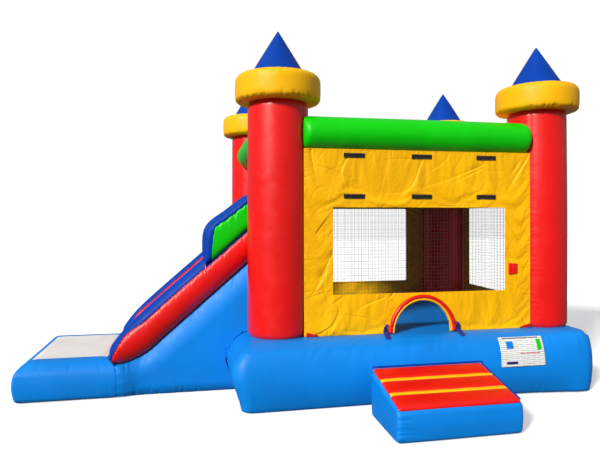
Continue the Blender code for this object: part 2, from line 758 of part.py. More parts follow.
def make_landing():
    centre = (sum(LANDING_X) / 2, sum(LANDING_Y) / 2)
    half = ((LANDING_X[1] - LANDING_X[0]) / 2, (LANDING_Y[1] - LANDING_Y[0]) / 2)
    edge = (
        (0.0, 0.10),
        (0.06, 0.04),
        (0.17, 0.0),
        (0.27, 0.01),
        (0.35, 0.06),
        (0.40, 0.12),
        (LANDING_TOP, 0.18),
    )
    landing = edged_cushion("landing_cushion", centre, half, LANDING_CORNER, edge, "blue_vinyl")
    hollow(landing, "X", (LANDING_X[1], centre[1], 0.17), -0.1, 0.1)
    low = (MAT_X[0], MAT_Y[0], LANDING_TOP + GAP)
    high = (MAT_X[1], MAT_Y[1], LANDING_TOP + GAP + MAT_THICK)
    box("landing_mat", low, high, "white_vinyl")


def make_climb():
    """The block inside that children climb to reach the slide's doorway."""
    low = BASE_TOP + GAP
    outline = [
        (CLIMB_Y[0], low),
        (CLIMB_Y[1], low),
        (CLIMB_Y[1], low + 0.08),
        (CLIMB_CREST_Y, CLIMB_TOP),
        (CLIMB_Y[0], CLIMB_TOP),
    ]
    block = pillow("climb_platform", outline, "X", CLIMB_X, 0.96, 0.04, "blue_vinyl")
    hollow(block, "Z", (sum(CLIMB_X) / 2, CLIMB_CREST_Y, low), -0.1, 0.1)


# Blower ------------------------------------------------------------------------


def scroll_outline(inset):
    """The fan casing's side outline, a spiral that opens into the outlet duct."""
    points = []
    steps = 18
    for step in range(steps + 1):
        share = step / steps
        radius = SCROLL_START + share * (SCROLL_END - SCROLL_START) - inset
        angle = math.radians(180 - 270 * share)
        points.append((radius * math.cos(angle), radius * math.sin(angle)))
    low = -SCROLL_END + inset
    end = -OUTLET_REACH - (0.02 if inset else 0.0)
    top = OUTLET_TOP - inset
    return [*points, (end, low), (end, top), (points[0][0], top)]


def shifted(outline):
    """An outline in the YZ plane moved from the fan's axis to its place."""
    _, y, z = BLOWER_CENTRE
    return [(y + a, z + b) for a, b in outline]


def blower_span(half):
    return (BLOWER_CENTRE[0] - half, BLOWER_CENTRE[0] + half)


def make_casing():
    inside = BLOWER_HALF_X - BLOWER_SHELL
    outer = shifted(scroll_outline(0.0))
    inner = shifted(scroll_outline(BLOWER_SHELL))
    casing = extruded("blower_casing", outer, "X", blower_span(BLOWER_HALF_X), "blower_plastic")
    x, y, _ = BLOWER_CENTRE
    low = (x - STAND_HALF[0], y - STAND_HALF[1], 0.0)
    high = (x + STAND_HALF[0], y + STAND_HALF[1], STAND_HEIGHT)
    boolean(casing, box("cutter_stand", low, high, None), "UNION")
    chamber = extruded("cutter_chamber", inner, "X", blower_span(inside), None)
    boolean(casing, chamber, "DIFFERENCE")
    inlet = (0.0, BLOWER_HALF_X + 0.02)
    inlet_cutter = cylinder("cutter_inlet", INLET_RADIUS, *inlet, "X", BLOWER_CENTRE, None)
    boolean(casing, inlet_cutter, "DIFFERENCE")
    hole = (-BLOWER_HALF_X - 0.02, 0.0)
    shaft_cutter = cylinder("cutter_shaft", SHAFT_RADIUS + 0.004, *hole, "X", BLOWER_CENTRE, None)
    boolean(casing, shaft_cutter, "DIFFERENCE")


def make_grille():
    """A round guard over the inlet, cut through by slots."""
    start = BLOWER_HALF_X + GAP
    span = (start, start + GRILLE_THICK)
    grille = cylinder("blower_grille", GRILLE_RADIUS, *span, "X", BLOWER_CENTRE, "black_plastic")
    x, y, z = BLOWER_CENTRE
    for index in range(-3, 4):
        middle = z + 0.026 * index
        half = math.sqrt(INLET_RADIUS**2 - (0.026 * index) ** 2) - 0.008
        low = (x + BLOWER_HALF_X - 0.01, y - half, middle - 0.008)
        high = (x + BLOWER_HALF_X + 0.02, y + half, middle + 0.008)
        slot = box(f"cutter_slot_{index + 3}", low, high, None)
        boolean(grille, slot, "DIFFERENCE")


def make_fan():
    """A paddle wheel on its shaft; its origin lies on the axis it turns about."""
    outline = []
    half_blade = math.asin(0.003 / FAN_HUB)
    half_tip = math.asin(0.003 / FAN_RADIUS)
    for blade in range(FAN_BLADES):
        middle = 2 * math.pi * blade / FAN_BLADES
        spots = ((FAN_HUB, -half_blade), (FAN_RADIUS, -half_tip))
        spots += ((FAN_RADIUS, half_tip), (FAN_HUB, half_blade))
        for radius, turn in spots:
            outline.append((radius * math.cos(middle + turn), radius * math.sin(middle + turn)))
    fan = extruded("blower_fan", outline, "X", (-FAN_HALF_X, FAN_HALF_X), "black_plastic")
    fan.location = BLOWER_CENTRE
    reach = (-BLOWER_HALF_X - 0.012, FAN_HALF_X)
    shaft = cylinder("cutter_shaft_bar", SHAFT_RADIUS, *reach, "X", BLOWER_CENTRE, None, 12)
    boolean(fan, shaft, "UNION")


def make_motor():
    """The motor on the far side of the casing, with a well that the shaft turns in."""
    end = -BLOWER_HALF_X - GAP
    profile = [
        (0.0, end - MOTOR_LENGTH),
        (MOTOR_RADIUS * 0.8, end - MOTOR_LENGTH),
        (MOTOR_RADIUS, end - MOTOR_LENGTH + 0.02),
        (MOTOR_RADIUS, end),
        (SHAFT_RADIUS + 0.003, end),
        (SHAFT_RADIUS + 0.003, end - 0.016),
        (0.0, end - 0.016),
    ]
    turned("blower_motor", profile, "X", BLOWER_CENTRE, "steel", 20)


def make_switch():
    """A rocker on the motor side of the casing, which tips about a Y axis."""
    deep, wide, tall = SWITCH_SIZE
    x = BLOWER_CENTRE[0] - BLOWER_HALF_X - SWITCH_LIFT
    y = BLOWER_CENTRE[1] + SWITCH_PLACE[0]
    z = BLOWER_CENTRE[2] + SWITCH_PLACE[1]
    low = (x - deep, y - wide / 2, z - tall / 2)
    box("blower_switch", low, (x, y + wide / 2, z + tall / 2), "black_plastic")


def make_sleeve():
    start = BASE_REAR + 0.003
    end = BLOWER_CENTRE[1] - OUTLET_REACH - GAP
    centre = (BLOWER_CENTRE[0], 0.0, SLEEVE_Z)
    profile = rounded_profile(SLEEVE_RADIUS, start, end, 0.02, 2)
    turned("inflation_sleeve", profile, "Y", centre, "blue_vinyl", 20)


# Rear fittings -----------------------------------------------------------------


def make_zip():
    z = BASE_EDGE[3][0]
    y = BASE_REAR + GAP
    low = (ZIP_X[0], y, z - ZIP_HALF_Z)
    high = (ZIP_X[1], y + ZIP_THICK, z + ZIP_HALF_Z)
    box("zip_tape", low, high, "hook_tape")
    wide, deep, tall = ZIP_SLIDER
    face = y + ZIP_THICK + GAP
    low = (ZIP_X[0] + 0.02, face, z - tall / 2)
    high = (ZIP_X[0] + 0.02 + wide, face + deep, z + tall / 2)
    box("zip_slider", low, high, "steel")


def make_ring(side, x):
    """A D-shaped anchor ring that hangs from its straight bar, on the bar's axis."""
    points = [(-RING_HALF, 0.0, 0.0)]
    for spot_x, spot_z in arc((0.0, -RING_DROP + RING_HALF), RING_HALF, 180, 360, 8):
        points.append((spot_x, 0.0, spot_z))
    points.append((RING_HALF, 0.0, 0.0))
    ring = bar(f"anchor_ring_{side}", points, RING_WIRE, "steel", closed=True)
    ring.location = (x, BASE_REAR + RING_STAND, RING_Z)


clear_scene()
PAINT = make_materials()
FRAME = make_frame()
make_base()
for corner_name, corner_spot in TOWERS.items():
    make_tower(corner_name, corner_spot)
make_beams()
make_roof()
make_front_wall()
make_back_wall()
make_side_walls()
make_nets()
make_arch_trim()
make_strips()
make_pull_tab()
make_buckle("left", -BUCKLE_X)
make_buckle("right", BUCKLE_X)
make_label()
make_ramp()
make_slide()
make_landing()
make_climb()
make_casing()
make_grille()
make_fan()
make_motor()
make_switch()
make_sleeve()
make_zip()
make_ring("left", -RING_X)
make_ring("right", RING_X)
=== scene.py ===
"""Looks of the inflatable bounce house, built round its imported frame.

Metres, +Z up, the front faces -Y and the slide leaves towards -X. Every soft
chamber is a lofted skin with short folds worked in along its seams, and the wall
panels, roof and mat are sheets settled by cloth simulation.
"""

import math

import bmesh
import bpy
import numpy as np
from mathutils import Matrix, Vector


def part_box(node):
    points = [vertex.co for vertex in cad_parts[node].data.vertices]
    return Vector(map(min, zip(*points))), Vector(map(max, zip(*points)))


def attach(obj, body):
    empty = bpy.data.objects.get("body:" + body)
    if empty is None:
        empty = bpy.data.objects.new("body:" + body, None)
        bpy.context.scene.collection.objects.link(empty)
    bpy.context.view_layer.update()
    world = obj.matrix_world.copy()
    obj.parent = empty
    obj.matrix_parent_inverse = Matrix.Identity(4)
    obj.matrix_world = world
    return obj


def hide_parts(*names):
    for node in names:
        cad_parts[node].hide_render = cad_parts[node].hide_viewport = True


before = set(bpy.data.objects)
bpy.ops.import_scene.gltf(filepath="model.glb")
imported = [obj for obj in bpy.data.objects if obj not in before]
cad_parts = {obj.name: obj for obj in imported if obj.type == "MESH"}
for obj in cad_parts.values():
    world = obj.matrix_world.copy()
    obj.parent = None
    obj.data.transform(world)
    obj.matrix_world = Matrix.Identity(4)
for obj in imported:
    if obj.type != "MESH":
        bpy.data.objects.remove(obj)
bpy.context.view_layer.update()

HOUSE = "house"


# Places read from the frame ------------------------------------------------------


def corners(node):
    low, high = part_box(node)
    return np.array(low), np.array(high)


def middle(node):
    low, high = corners(node)
    return (low + high) / 2


BASE_LOW, BASE_HIGH = corners("base_cushion")
BASE_TOP = BASE_HIGH[2]
FRONT_Y = middle("wall_front")[1]
BACK_Y = middle("wall_back")[1]
LEFT_X = middle("wall_left")[0]
RIGHT_X = middle("wall_right")[0]
CENTRE_X = middle("wall_front")[0]
CENTRE_Y = middle("wall_left")[1]
TOWERS = ("front_left", "front_right", "rear_left", "rear_right")
TOWER_LOW, TOWER_HIGH = corners("tower_front_left")
TOWER_RADIUS = (TOWER_HIGH[0] - TOWER_LOW[0]) / 2
TOWER_GAP = 0.004

# The base's edge as (height, inset from its widest outline)
BASE_EDGE = (
    (0.0, 0.14),
    (0.076, 0.07),
    (0.209, 0.015),
    (0.342, 0.0),
    (0.475, 0.03),
    (0.58, 0.095),
    (0.646, 0.18),
    (0.675, 0.28),
)

# The landing's edge, in the same way
LANDING_EDGE = (
    (0.0, 0.10),
    (0.012, 0.045),
    (0.06, 0.018),
    (0.17, 0.0),
    (0.27, 0.008),
    (0.340, 0.035),
    (0.388, 0.080),
    (0.415, 0.130),
)


def inset_at(edge, height):
    """How far an edge stands in at a height."""
    return np.interp(height, [row[0] for row in edge], [row[1] for row in edge])


# Camera, light and floor -----------------------------------------------------------


def new_object(name, data):
    """An object for a mesh, a camera or a lamp, linked to the scene."""
    obj = bpy.data.objects.new(name, data)
    bpy.context.scene.collection.objects.link(obj)
    return obj


def set_inputs(node, **values):
    """Set a shader node's inputs by name, with _ for each space."""
    for name, value in values.items():
        node.inputs[name.replace("_", " ")].default_value = value


def make_camera():
    """The view from in front of the house, a little to its left."""
    data = bpy.data.cameras.new("view")
    camera = new_object("view", data)
    camera.location = (-1.3385, -7.500, 1.968)
    camera.rotation_euler = (math.radians(90), math.radians(0.11), math.radians(-10.92))
    data.lens = 32.97
    data.sensor_width = 36.0
    data.shift_x = -0.0020
    data.shift_y = -0.0203
    bpy.context.scene.camera = camera


def make_lights():
    """A sky that darkens downwards, a white backdrop for the camera, and a soft key."""
    scene = bpy.context.scene
    scene.view_settings.view_transform = "Standard"
    world = bpy.data.worlds.new("studio")
    world.use_nodes = True
    tree = world.node_tree
    sky = tree.nodes["Background"]
    set_inputs(sky, Color=(0.93, 0.96, 1.0, 1.0))
    way = tree.nodes.new("ShaderNodeSeparateXYZ")
    tree.links.new(tree.nodes.new("ShaderNodeTexCoord").outputs["Generated"], way.inputs[0])
    dusk = tree.nodes.new("ShaderNodeMapRange")
    set_inputs(dusk, From_Min=-0.25, From_Max=0.35, To_Min=0.14, To_Max=0.38)
    tree.links.new(way.outputs["Z"], dusk.inputs["Value"])
    tree.links.new(dusk.outputs["Result"], sky.inputs["Strength"])
    backdrop = tree.nodes.new("ShaderNodeBackground")
    set_inputs(backdrop, Color=(1.0, 1.0, 1.0, 1.0))
    seen = tree.nodes.new("ShaderNodeLightPath")
    mix = tree.nodes.new("ShaderNodeMixShader")
    tree.links.new(seen.outputs["Is Camera Ray"], mix.inputs["Fac"])
    tree.links.new(sky.outputs["Background"], mix.inputs[1])
    tree.links.new(backdrop.outputs["Background"], mix.inputs[2])
    tree.links.new(mix.outputs["Shader"], tree.nodes["World Output"].inputs["Surface"])
    scene.world = world
    sun = bpy.data.lights.new("key", "SUN")
    sun.energy = 4.0
    sun.angle = math.radians(9)
    sun.color = (1.0, 0.97, 0.92)
    key = new_object("key", sun)
    azimuth, height = math.radians(46), math.radians(30)
    level = math.cos(height)
    toward = Vector((-math.sin(azimuth) * level, -math.cos(azimuth) * level, math.sin(height)))
    key.rotation_mode = "QUATERNION"
    key.rotation_quaternion = toward.to_track_quat("Z", "Y")


def make_floor():
    reach = 40.0
    mesh = bpy.data.meshes.new("floor")
    spots = [(-reach, -reach, 0), (reach, -reach, 0), (reach, reach, 0), (-reach, reach, 0)]
    mesh.from_pydata(spots, [], [(0, 1, 2, 3)])
    floor = new_object("floor", mesh)
    paint = bpy.data.materials.new("floor")
    paint.use_nodes = True
    shader = paint.node_tree.nodes["Principled BSDF"]
    set_inputs(shader, Base_Color=(0.92, 0.92, 0.92, 1.0), Roughness=0.9)
    set_inputs(shader, Emission_Color=(1.0, 1.0, 1.0, 1.0), Emission_Strength=0.32)
    mesh.materials.append(paint)
    floor.visible_diffuse = False
    floor.visible_glossy = False


# Materials -------------------------------------------------------------------------


class Nodes:
    """A short way to add and join shader nodes."""

    def __init__(self, name):
        self.material = bpy.data.materials.new(name)
        self.material.use_nodes = True
        self.tree = self.material.node_tree
        self.shader = self.tree.nodes["Principled BSDF"]
        self.place = self.add("ShaderNodeTexCoord").outputs["Object"]

    def add(self, kind, **values):
        node = self.tree.nodes.new(kind)
        for key, value in values.items():
            setattr(node, key, value)
        return node

    def join(self, start, end):
        self.tree.links.new(start, end)

    def noise(self, scale, detail=3.0, distortion=0.0):
        node = self.add("ShaderNodeTexNoise")
        set_inputs(node, Scale=scale, Detail=detail, Distortion=distortion)
        self.join(self.place, node.inputs["Vector"])
        return node.outputs["Fac"]

    def ramp(self, value, low, high):
        """The middle part of a noise, spread from low to high: numbers or colours."""
        start, end = 0.3, 0.7
        if np.isscalar(low):
            node = self.add("ShaderNodeMapRange")
            set_inputs(node, From_Min=start, From_Max=end, To_Min=low, To_Max=high)
            self.join(value, node.inputs["Value"])
            return node.outputs["Result"]
        node = self.add("ShaderNodeValToRGB")
        node.color_ramp.elements[0].position = start
        node.color_ramp.elements[1].position = end
        node.color_ramp.elements[0].color = (*low, 1.0)
        node.color_ramp.elements[1].color = (*high, 1.0)
        self.join(value, node.inputs["Fac"])
        return node.outputs["Color"]

    def bump(self, height, distance, strength=1.0, under=None):
        node = self.add("ShaderNodeBump")
        set_inputs(node, Strength=strength, Distance=distance)
        self.join(height, node.inputs["Height"])
        if under:
            self.join(under, node.inputs["Normal"])
        return node.outputs["Normal"]

    def math(self, operation, a, b=None):
        node = self.add("ShaderNodeMath", operation=operation)
        for socket, value in zip(node.inputs, (a, b)):
            if value is None:
                continue
            if np.isscalar(value):
                socket.default_value = value
            else:
                self.join(value, socket)
        return node.outputs["Value"]

    def weave(self, pitch):
        """The scrim inside coated cloth: fine ribs across each axis."""
        ribs = None
        for direction in ("X", "Y", "Z"):
            node = self.add("ShaderNodeTexWave", bands_direction=direction)
            set_inputs(node, Scale=2 * math.pi / (20 * pitch))
            self.join(self.place, node.inputs["Vector"])
            ribs = node.outputs["Fac"] if ribs is None else self.math("ADD", ribs, node.outputs["Fac"])
        return ribs

    def feed(self, name, output):
        self.join(output, self.shader.inputs[name])


def shade(colour, factor):
    return tuple(min(1.0, channel * factor) for channel in colour)


def vinyl(name, colour, roughness=0.36, gloss=0.50, crumple=0.0):
    """Coated cloth: a soft gloss, faint ribs, and slow changes of tone and polish."""
    make = Nodes(name)
    tone = make.ramp(make.noise(1.3, 4.0, 0.6), shade(colour, 0.90), shade(colour, 1.06))
    make.feed("Base Color", tone)
    polish = make.ramp(make.noise(7.0, 5.0, 0.8), roughness - 0.05, roughness + 0.09)
    make.feed("Roughness", polish)
    set_inputs(make.shader, Specular_IOR_Level=gloss)
    creased = make.bump(make.noise(5.5, 5.0, 1.2), 0.008, 0.07)
    if crumple:
        cells = make.add("ShaderNodeTexVoronoi", feature="SMOOTH_F1")
        set_inputs(cells, Scale=9.0, Smoothness=0.15)
        warp = make.add("ShaderNodeVectorMath", operation="MULTIPLY_ADD")
        shift = make.add("ShaderNodeTexNoise")
        set_inputs(shift, Scale=3.0)
        make.join(make.place, shift.inputs["Vector"])
        make.join(shift.outputs["Color"], warp.inputs[0])
        warp.inputs[1].default_value = (0.5, 0.5, 0.5)
        make.join(make.place, warp.inputs[2])
        make.join(warp.outputs["Vector"], cells.inputs["Vector"])
        creased = make.bump(cells.outputs["Distance"], 0.020, crumple, creased)
    grained = make.bump(make.noise(260.0, 2.0), 0.0006, 0.25, creased)
    make.feed("Normal", make.bump(make.weave(0.0028), 0.00025, 0.25, grained))
    return make.material


def cloth(name, colour, pitch, roughness=0.85, sheen=0.15):
    """Woven tape or netting cord."""
    make = Nodes(name)
    tone = make.ramp(make.noise(60.0, 3.0), shade(colour, 0.7), shade(colour, 1.35))
    make.feed("Base Color", tone)
    set_inputs(make.shader, Roughness=roughness, Sheen_Weight=sheen)
    make.feed("Normal", make.bump(make.weave(pitch), pitch / 3, 0.7))
    return make.material


def moulded(name, colour, roughness=0.42):
    """Moulded plastic: a fine spark-eroded grain and a few polished patches."""
    make = Nodes(name)
    tone = make.ramp(make.noise(14.0, 3.0), shade(colour, 0.85), shade(colour, 1.2))
    make.feed("Base Color", tone)
    polish = make.ramp(make.noise(30.0, 4.0), roughness - 0.08, roughness + 0.10)
    make.feed("Roughness", polish)
    make.feed("Normal", make.bump(make.noise(900.0, 2.0), 0.0003, 0.4))
    return make.material


def zinc(name):
    """Galvanised steel: a mottled grey."""
    make = Nodes(name)
    tone = make.ramp(make.noise(45.0, 4.0), (0.42, 0.43, 0.45), (0.66, 0.67, 0.68))
    make.feed("Base Color", tone)
    polish = make.ramp(make.noise(80.0, 4.0), 0.28, 0.48)
    make.feed("Roughness", polish)
    set_inputs(make.shader, Metallic=1.0)
    make.feed("Normal", make.bump(make.noise(300.0, 2.0), 0.0002, 0.3))
    return make.material


def printed(name):
    """A plain information panel: grey ruled bars on white, with nothing to read."""
    make = Nodes(name)
    bars = make.add("ShaderNodeTexBrick")
    turn = make.add("ShaderNodeMapping")
    set_inputs(turn, Rotation=(math.radians(90), 0.0, 0.0))
    make.join(make.place, turn.inputs["Vector"])
    make.join(turn.outputs["Vector"], bars.inputs["Vector"])
    set_inputs(bars, Scale=1.0, Brick_Width=0.13, Row_Height=0.020, Mortar_Size=0.0070)
    set_inputs(bars, Color1=(0.30, 0.33, 0.36, 1.0), Color2=(0.52, 0.54, 0.56, 1.0))
    set_inputs(bars, Mortar=(0.86, 0.86, 0.84, 1.0))
    make.feed("Base Color", bars.outputs["Color"])
    polish = make.ramp(make.noise(12.0, 3.0), 0.35, 0.50)
    make.feed("Roughness", polish)
    make.feed("Normal", make.bump(make.noise(20.0, 4.0), 0.002, 0.2))
    return make.material


PAINT = {
    "blue": vinyl("blue_vinyl", (0.0, 0.225, 0.76), 0.48, 0.26),
    "royal": vinyl("royal_vinyl", (0.0, 0.046, 0.36), 0.46, 0.12),
    "red": vinyl("red_vinyl", (0.80, 0.003, 0.0015), 0.33, 0.55),
    "yellow": vinyl("yellow_vinyl", (0.98, 0.49, 0.0), 0.44, 0.28),
    "panel": vinyl("wall_vinyl", (0.98, 0.49, 0.0), 0.46, 0.22, 0.07),
    "green": vinyl("green_vinyl", (0.0, 0.60, 0.0), 0.38, 0.32),
    "white": vinyl("white_vinyl", (0.86, 0.86, 0.85), 0.50, 0.20),
    "net": cloth("netting", (0.02, 0.02, 0.022), 0.0012),
    "tape": cloth("hook_tape", (0.008, 0.007, 0.006), 0.0015, 0.95, 0.0),
    "webbing": cloth("webbing", (0.012, 0.02, 0.26), 0.0020, 0.6, 0.0),
    "thread": cloth("thread", (0.75, 0.75, 0.72), 0.0010),
    "navy": moulded("navy_plastic", (0.012, 0.016, 0.13), 0.30),
    "black": moulded("black_plastic", (0.018, 0.018, 0.020)),
    "blower": moulded("blower_plastic", (0.02, 0.05, 0.20)),
    "zinc": zinc("zinc_plate"),
    "label": printed("label_print"),
}


# Building blocks -------------------------------------------------------------------


def spaced(line, count):
    """count points at even distances along a line."""
    steps = np.linalg.norm(np.diff(line, axis=0), axis=1)
    travelled = np.concatenate(([0.0], np.cumsum(steps)))
    spots = np.linspace(0.0, travelled[-1], count)
    return np.stack([np.interp(spots, travelled, column) for column in line.T], axis=1)


def curve_through(points, count):
    """Evenly spaced points on a smooth curve through the given ones."""
    given = np.array(points, float)
    ends = np.vstack((2 * given[0] - given[1], given, 2 * given[-1] - given[-2]))
    share = np.linspace(0.0, 1.0, 24, endpoint=False)[:, None]
    runs = []
    for a, b, c, d in zip(ends, ends[1:], ends[2:], ends[3:]):
        bend = (2 * a - 5 * b + 4 * c - d) * share**2 + (3 * b - a - 3 * c + d) * share**3
        runs.append(0.5 * (2 * b + (c - a) * share + bend))
    return spaced(np.vstack((*runs, given[-1:])), count)


def travelled(grid, axis):
    """Distance along a grid's rows or columns, from the first one."""
    steps = np.linalg.norm(np.diff(grid, axis=axis), axis=2)
    start = np.zeros_like(np.take(steps, [0], axis=axis))
    return np.concatenate((start, np.cumsum(steps, axis=axis)), axis=axis)


def facing(grid):
    """Unit normals of a grid whose columns wrap round."""
    down = np.gradient(grid, axis=0)
    across = np.roll(grid, -1, 1) - np.roll(grid, 1, 1)
    normal = np.cross(across, down)
    return normal / np.maximum(np.linalg.norm(normal, axis=2, keepdims=True), 1e-12)


def swell(grid, depth):
    """Move each point of a grid outwards, away from the middle of its row."""
    normal = facing(grid)
    core = grid.mean(axis=1, keepdims=True)
    sign = 1 if (normal * (grid - core)).sum() > 0 else -1
    return grid + sign * normal * depth[..., None]


def ripple(grid, scale, seed):
    """A smooth wandering value between about -1 and 1 over a grid's points."""
    rng = np.random.default_rng(seed)
    total = np.zeros(grid.shape[:2])
    for _ in range(9):
        direction = rng.normal(size=3)
        direction *= scale * rng.uniform(0.6, 1.5) / np.linalg.norm(direction)
        total += np.sin(grid @ direction + rng.uniform(0, 2 * math.pi))
    return total / 4.0


def folds(along, away, length, seed, spacing=0.035, depth=0.005, reach=0.08, width=0.007, lean=0.4):
    """How deep the short folds are that run away from a seam. along and away are
    distances along the seam and from it; the seam closes on itself after length."""
    rng = np.random.default_rng(seed)
    total = np.zeros_like(along)
    for start in rng.uniform(0, length, max(1, int(length / spacing))):
        run = reach * rng.uniform(0.25, 1.0)
        slope = rng.uniform(-lean, lean)
        deep = depth * rng.uniform(0.35, 1.0)
        wide = width * rng.uniform(0.7, 1.5)
        offset = (along - start - slope * away + length / 2) % length - length / 2
        fade = np.clip(1.0 - away / run, 0.0, 1.0)
        spread = wide * (0.7 + 0.9 * np.minimum(away / run, 1.0))
        near = np.abs(offset) < 3 * wide * 1.6
        fold = np.zeros_like(total)
        fold[near] = (deep * fade**1.3 * np.exp(-((offset / spread) ** 2)))[near]
        total = np.maximum(total, fold)
    return total


def from_row(walked, row):
    """Distance from one row of a grid, along its columns."""
    return np.abs(walked - walked[row : row + 1])


def fading(distance, reach):
    """1 at a place and nearly 0 beyond twice the reach."""
    return np.exp(-((distance / reach) ** 2))


def pinch(away, depth, reach):
    """A soft groove along a seam."""
    return depth * fading(away, reach)


def full_turn(count):
    return np.linspace(0, 2 * math.pi, count, endpoint=False)


def stacked(x, y, z):
    """A grid of points from its three coordinates."""
    return np.stack((x, y, z), axis=-1)


def inside_edge(x, y, low, high):
    """How far points lie inside a box's outline, seen from above."""
    return np.minimum.reduce((x - low[0], high[0] - x, y - low[1], high[1] - y))


def points_of(mesh):
    """A mesh's vertices, one row of x, y, z for each."""
    spots = np.empty(3 * len(mesh.vertices))
    mesh.vertices.foreach_get("co", spots)
    return spots.reshape(-1, 3)


def set_points(mesh, spots):
    mesh.vertices.foreach_set("co", spots.ravel())
    mesh.update()


def piece(obj, paint, nodes=(), body=HOUSE):
    """Give an object its finish, its body and the nodes that it stands for, and keep it
    above the floor."""
    spots = points_of(obj.data)
    spots[:, 2] = np.maximum(spots[:, 2], 0.0)
    set_points(obj.data, spots)
    obj.data.materials.clear()
    obj.data.materials.append(PAINT[paint])
    if nodes:
        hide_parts(*nodes)
    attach(obj, body)


def mesh_object(name, verts, faces):
    mesh = bpy.data.meshes.new(name)
    mesh.from_pydata([tuple(v) for v in verts], [], [tuple(f) for f in faces])
    shape = bmesh.new()
    shape.from_mesh(mesh)
    bmesh.ops.remove_doubles(shape, verts=shape.verts, dist=1e-5)
    bmesh.ops.recalc_face_normals(shape, faces=shape.faces)
    shape.to_mesh(mesh)
    shape.free()
    mesh.shade_smooth()
    return new_object(name, mesh)


def surface(name, grid, wrap=True, caps=True):
    """A mesh over a grid: rows run along, columns run round. caps close its two ends."""
    rows, columns = grid.shape[:2]
    index = np.arange(rows * columns).reshape(rows, columns)
    left = index if wrap else index[:, :-1]
    right = np.roll(index, -1, 1) if wrap else index[:, 1:]
    quads = np.stack((left[:-1], right[:-1], right[1:], left[1:]), axis=-1).reshape(-1, 4)
    verts = grid.reshape(-1, 3)
    faces = quads.tolist()
    if caps:
        for row in (0, rows - 1):
            centre = len(verts)
            verts = np.vstack((verts, grid[row].mean(axis=0)))
            faces += [(a, b, centre) for a, b in zip(left[row].tolist(), right[row].tolist())]
    return mesh_object(name, verts, faces)


def thicken(obj, thickness):
    """Give a skin its thickness, half on each side."""
    solid = obj.modifiers.new("thickness", "SOLIDIFY")
    solid.thickness = thickness
    solid.offset = 0.0
    solid.use_even_offset = False
    return obj


def shell(name, grid, thickness=0.003):
    """An open skin given a thickness."""
    return thicken(surface(name, grid, wrap=False, caps=False), thickness)


def apply_modifiers(obj):
    """Replace an object's mesh by what its modifiers make of it."""
    graph = bpy.context.evaluated_depsgraph_get()
    made = bpy.data.meshes.new_from_object(obj.evaluated_get(graph), depsgraph=graph)
    obj.modifiers.clear()
    obj.data = made


def tube(name, line, radius, around, closed=False, squeeze=1.0):
    """A round cord or padded roll along a line of points."""
    line = np.array(line, float)
    ahead = np.roll(line, -1, 0) - np.roll(line, 1, 0) if closed else np.gradient(line, axis=0)
    ahead /= np.linalg.norm(ahead, axis=1, keepdims=True)
    side = np.cross(ahead, (0.0, 0.0, 1.0))
    weak = np.linalg.norm(side, axis=1) < 0.2
    side[weak] = np.cross(ahead[weak], (0.0, 1.0, 0.0))
    side /= np.linalg.norm(side, axis=1, keepdims=True)
    for k in range(1, len(side)):
        if side[k] @ side[k - 1] < 0:
            side[k] = -side[k]
    over = np.cross(side, ahead)
    angle = full_turn(around)
    radius = np.broadcast_to(radius, (len(line),))[:, None, None]
    sideways, upwards = np.cos(angle)[None, :, None], squeeze * np.sin(angle)[None, :, None]
    ring = sideways * side[:, None] + upwards * over[:, None]
    grid = line[:, None] + radius * ring
    if closed:
        grid = np.concatenate((grid, grid[:1]))
        return surface(name, grid, caps=False)
    return surface(name, grid)


def block(name, low, high, bevel):
    """A slab with softened edges."""
    shape = bmesh.new()
    bmesh.ops.create_cube(shape, size=1.0)
    bmesh.ops.scale(shape, vec=Vector(high) - Vector(low), verts=shape.verts)
    bmesh.ops.translate(shape, vec=(Vector(low) + Vector(high)) / 2, verts=shape.verts)
    edges = {"geom": shape.edges[:], "offset": bevel, "segments": 3, "profile": 0.6}
    bmesh.ops.bevel(shape, affect="EDGES", clamp_overlap=True, **edges)
    mesh = bpy.data.meshes.new(name)
    shape.to_mesh(mesh)
    shape.free()
    mesh.shade_smooth()
    return new_object(name, mesh)


def clear_of_tower(grid, corner):
    """Press a grid's points out of the round space that a tower takes."""
    spot = middle(f"tower_{corner}")
    flat = grid[..., :2] - spot[:2]
    away = np.linalg.norm(flat, axis=2)
    push = np.clip(TOWER_RADIUS + TOWER_GAP - away, 0.0, None)
    grid[..., :2] += flat / np.maximum(away, 1e-6)[..., None] * push[..., None]
    return grid


# Turned chambers: towers, collars, cones -------------------------------------------


def turned(profile, centre, around):
    """Points of a turned shape; profile holds (radius, height) rows."""
    angle = full_turn(around)
    radius, height = profile[:, 0:1], profile[:, 1:2]
    x = centre[0] + radius * np.cos(angle)
    y = centre[1] + radius * np.sin(angle)
    return stacked(x, y, np.broadcast_to(height, x.shape))


def turn_of(grid, centre):
    return np.arctan2(grid[..., 1] - centre[1], grid[..., 0] - centre[0])


def turn_gap(turn, seam):
    """The angle from a seam, the shorter way round."""
    return np.abs((turn - seam + math.pi) % (2 * math.pi) - math.pi)


def corner_signs(corner):
    return (-1 if "left" in corner else 1), (-1 if "front" in corner else 1)


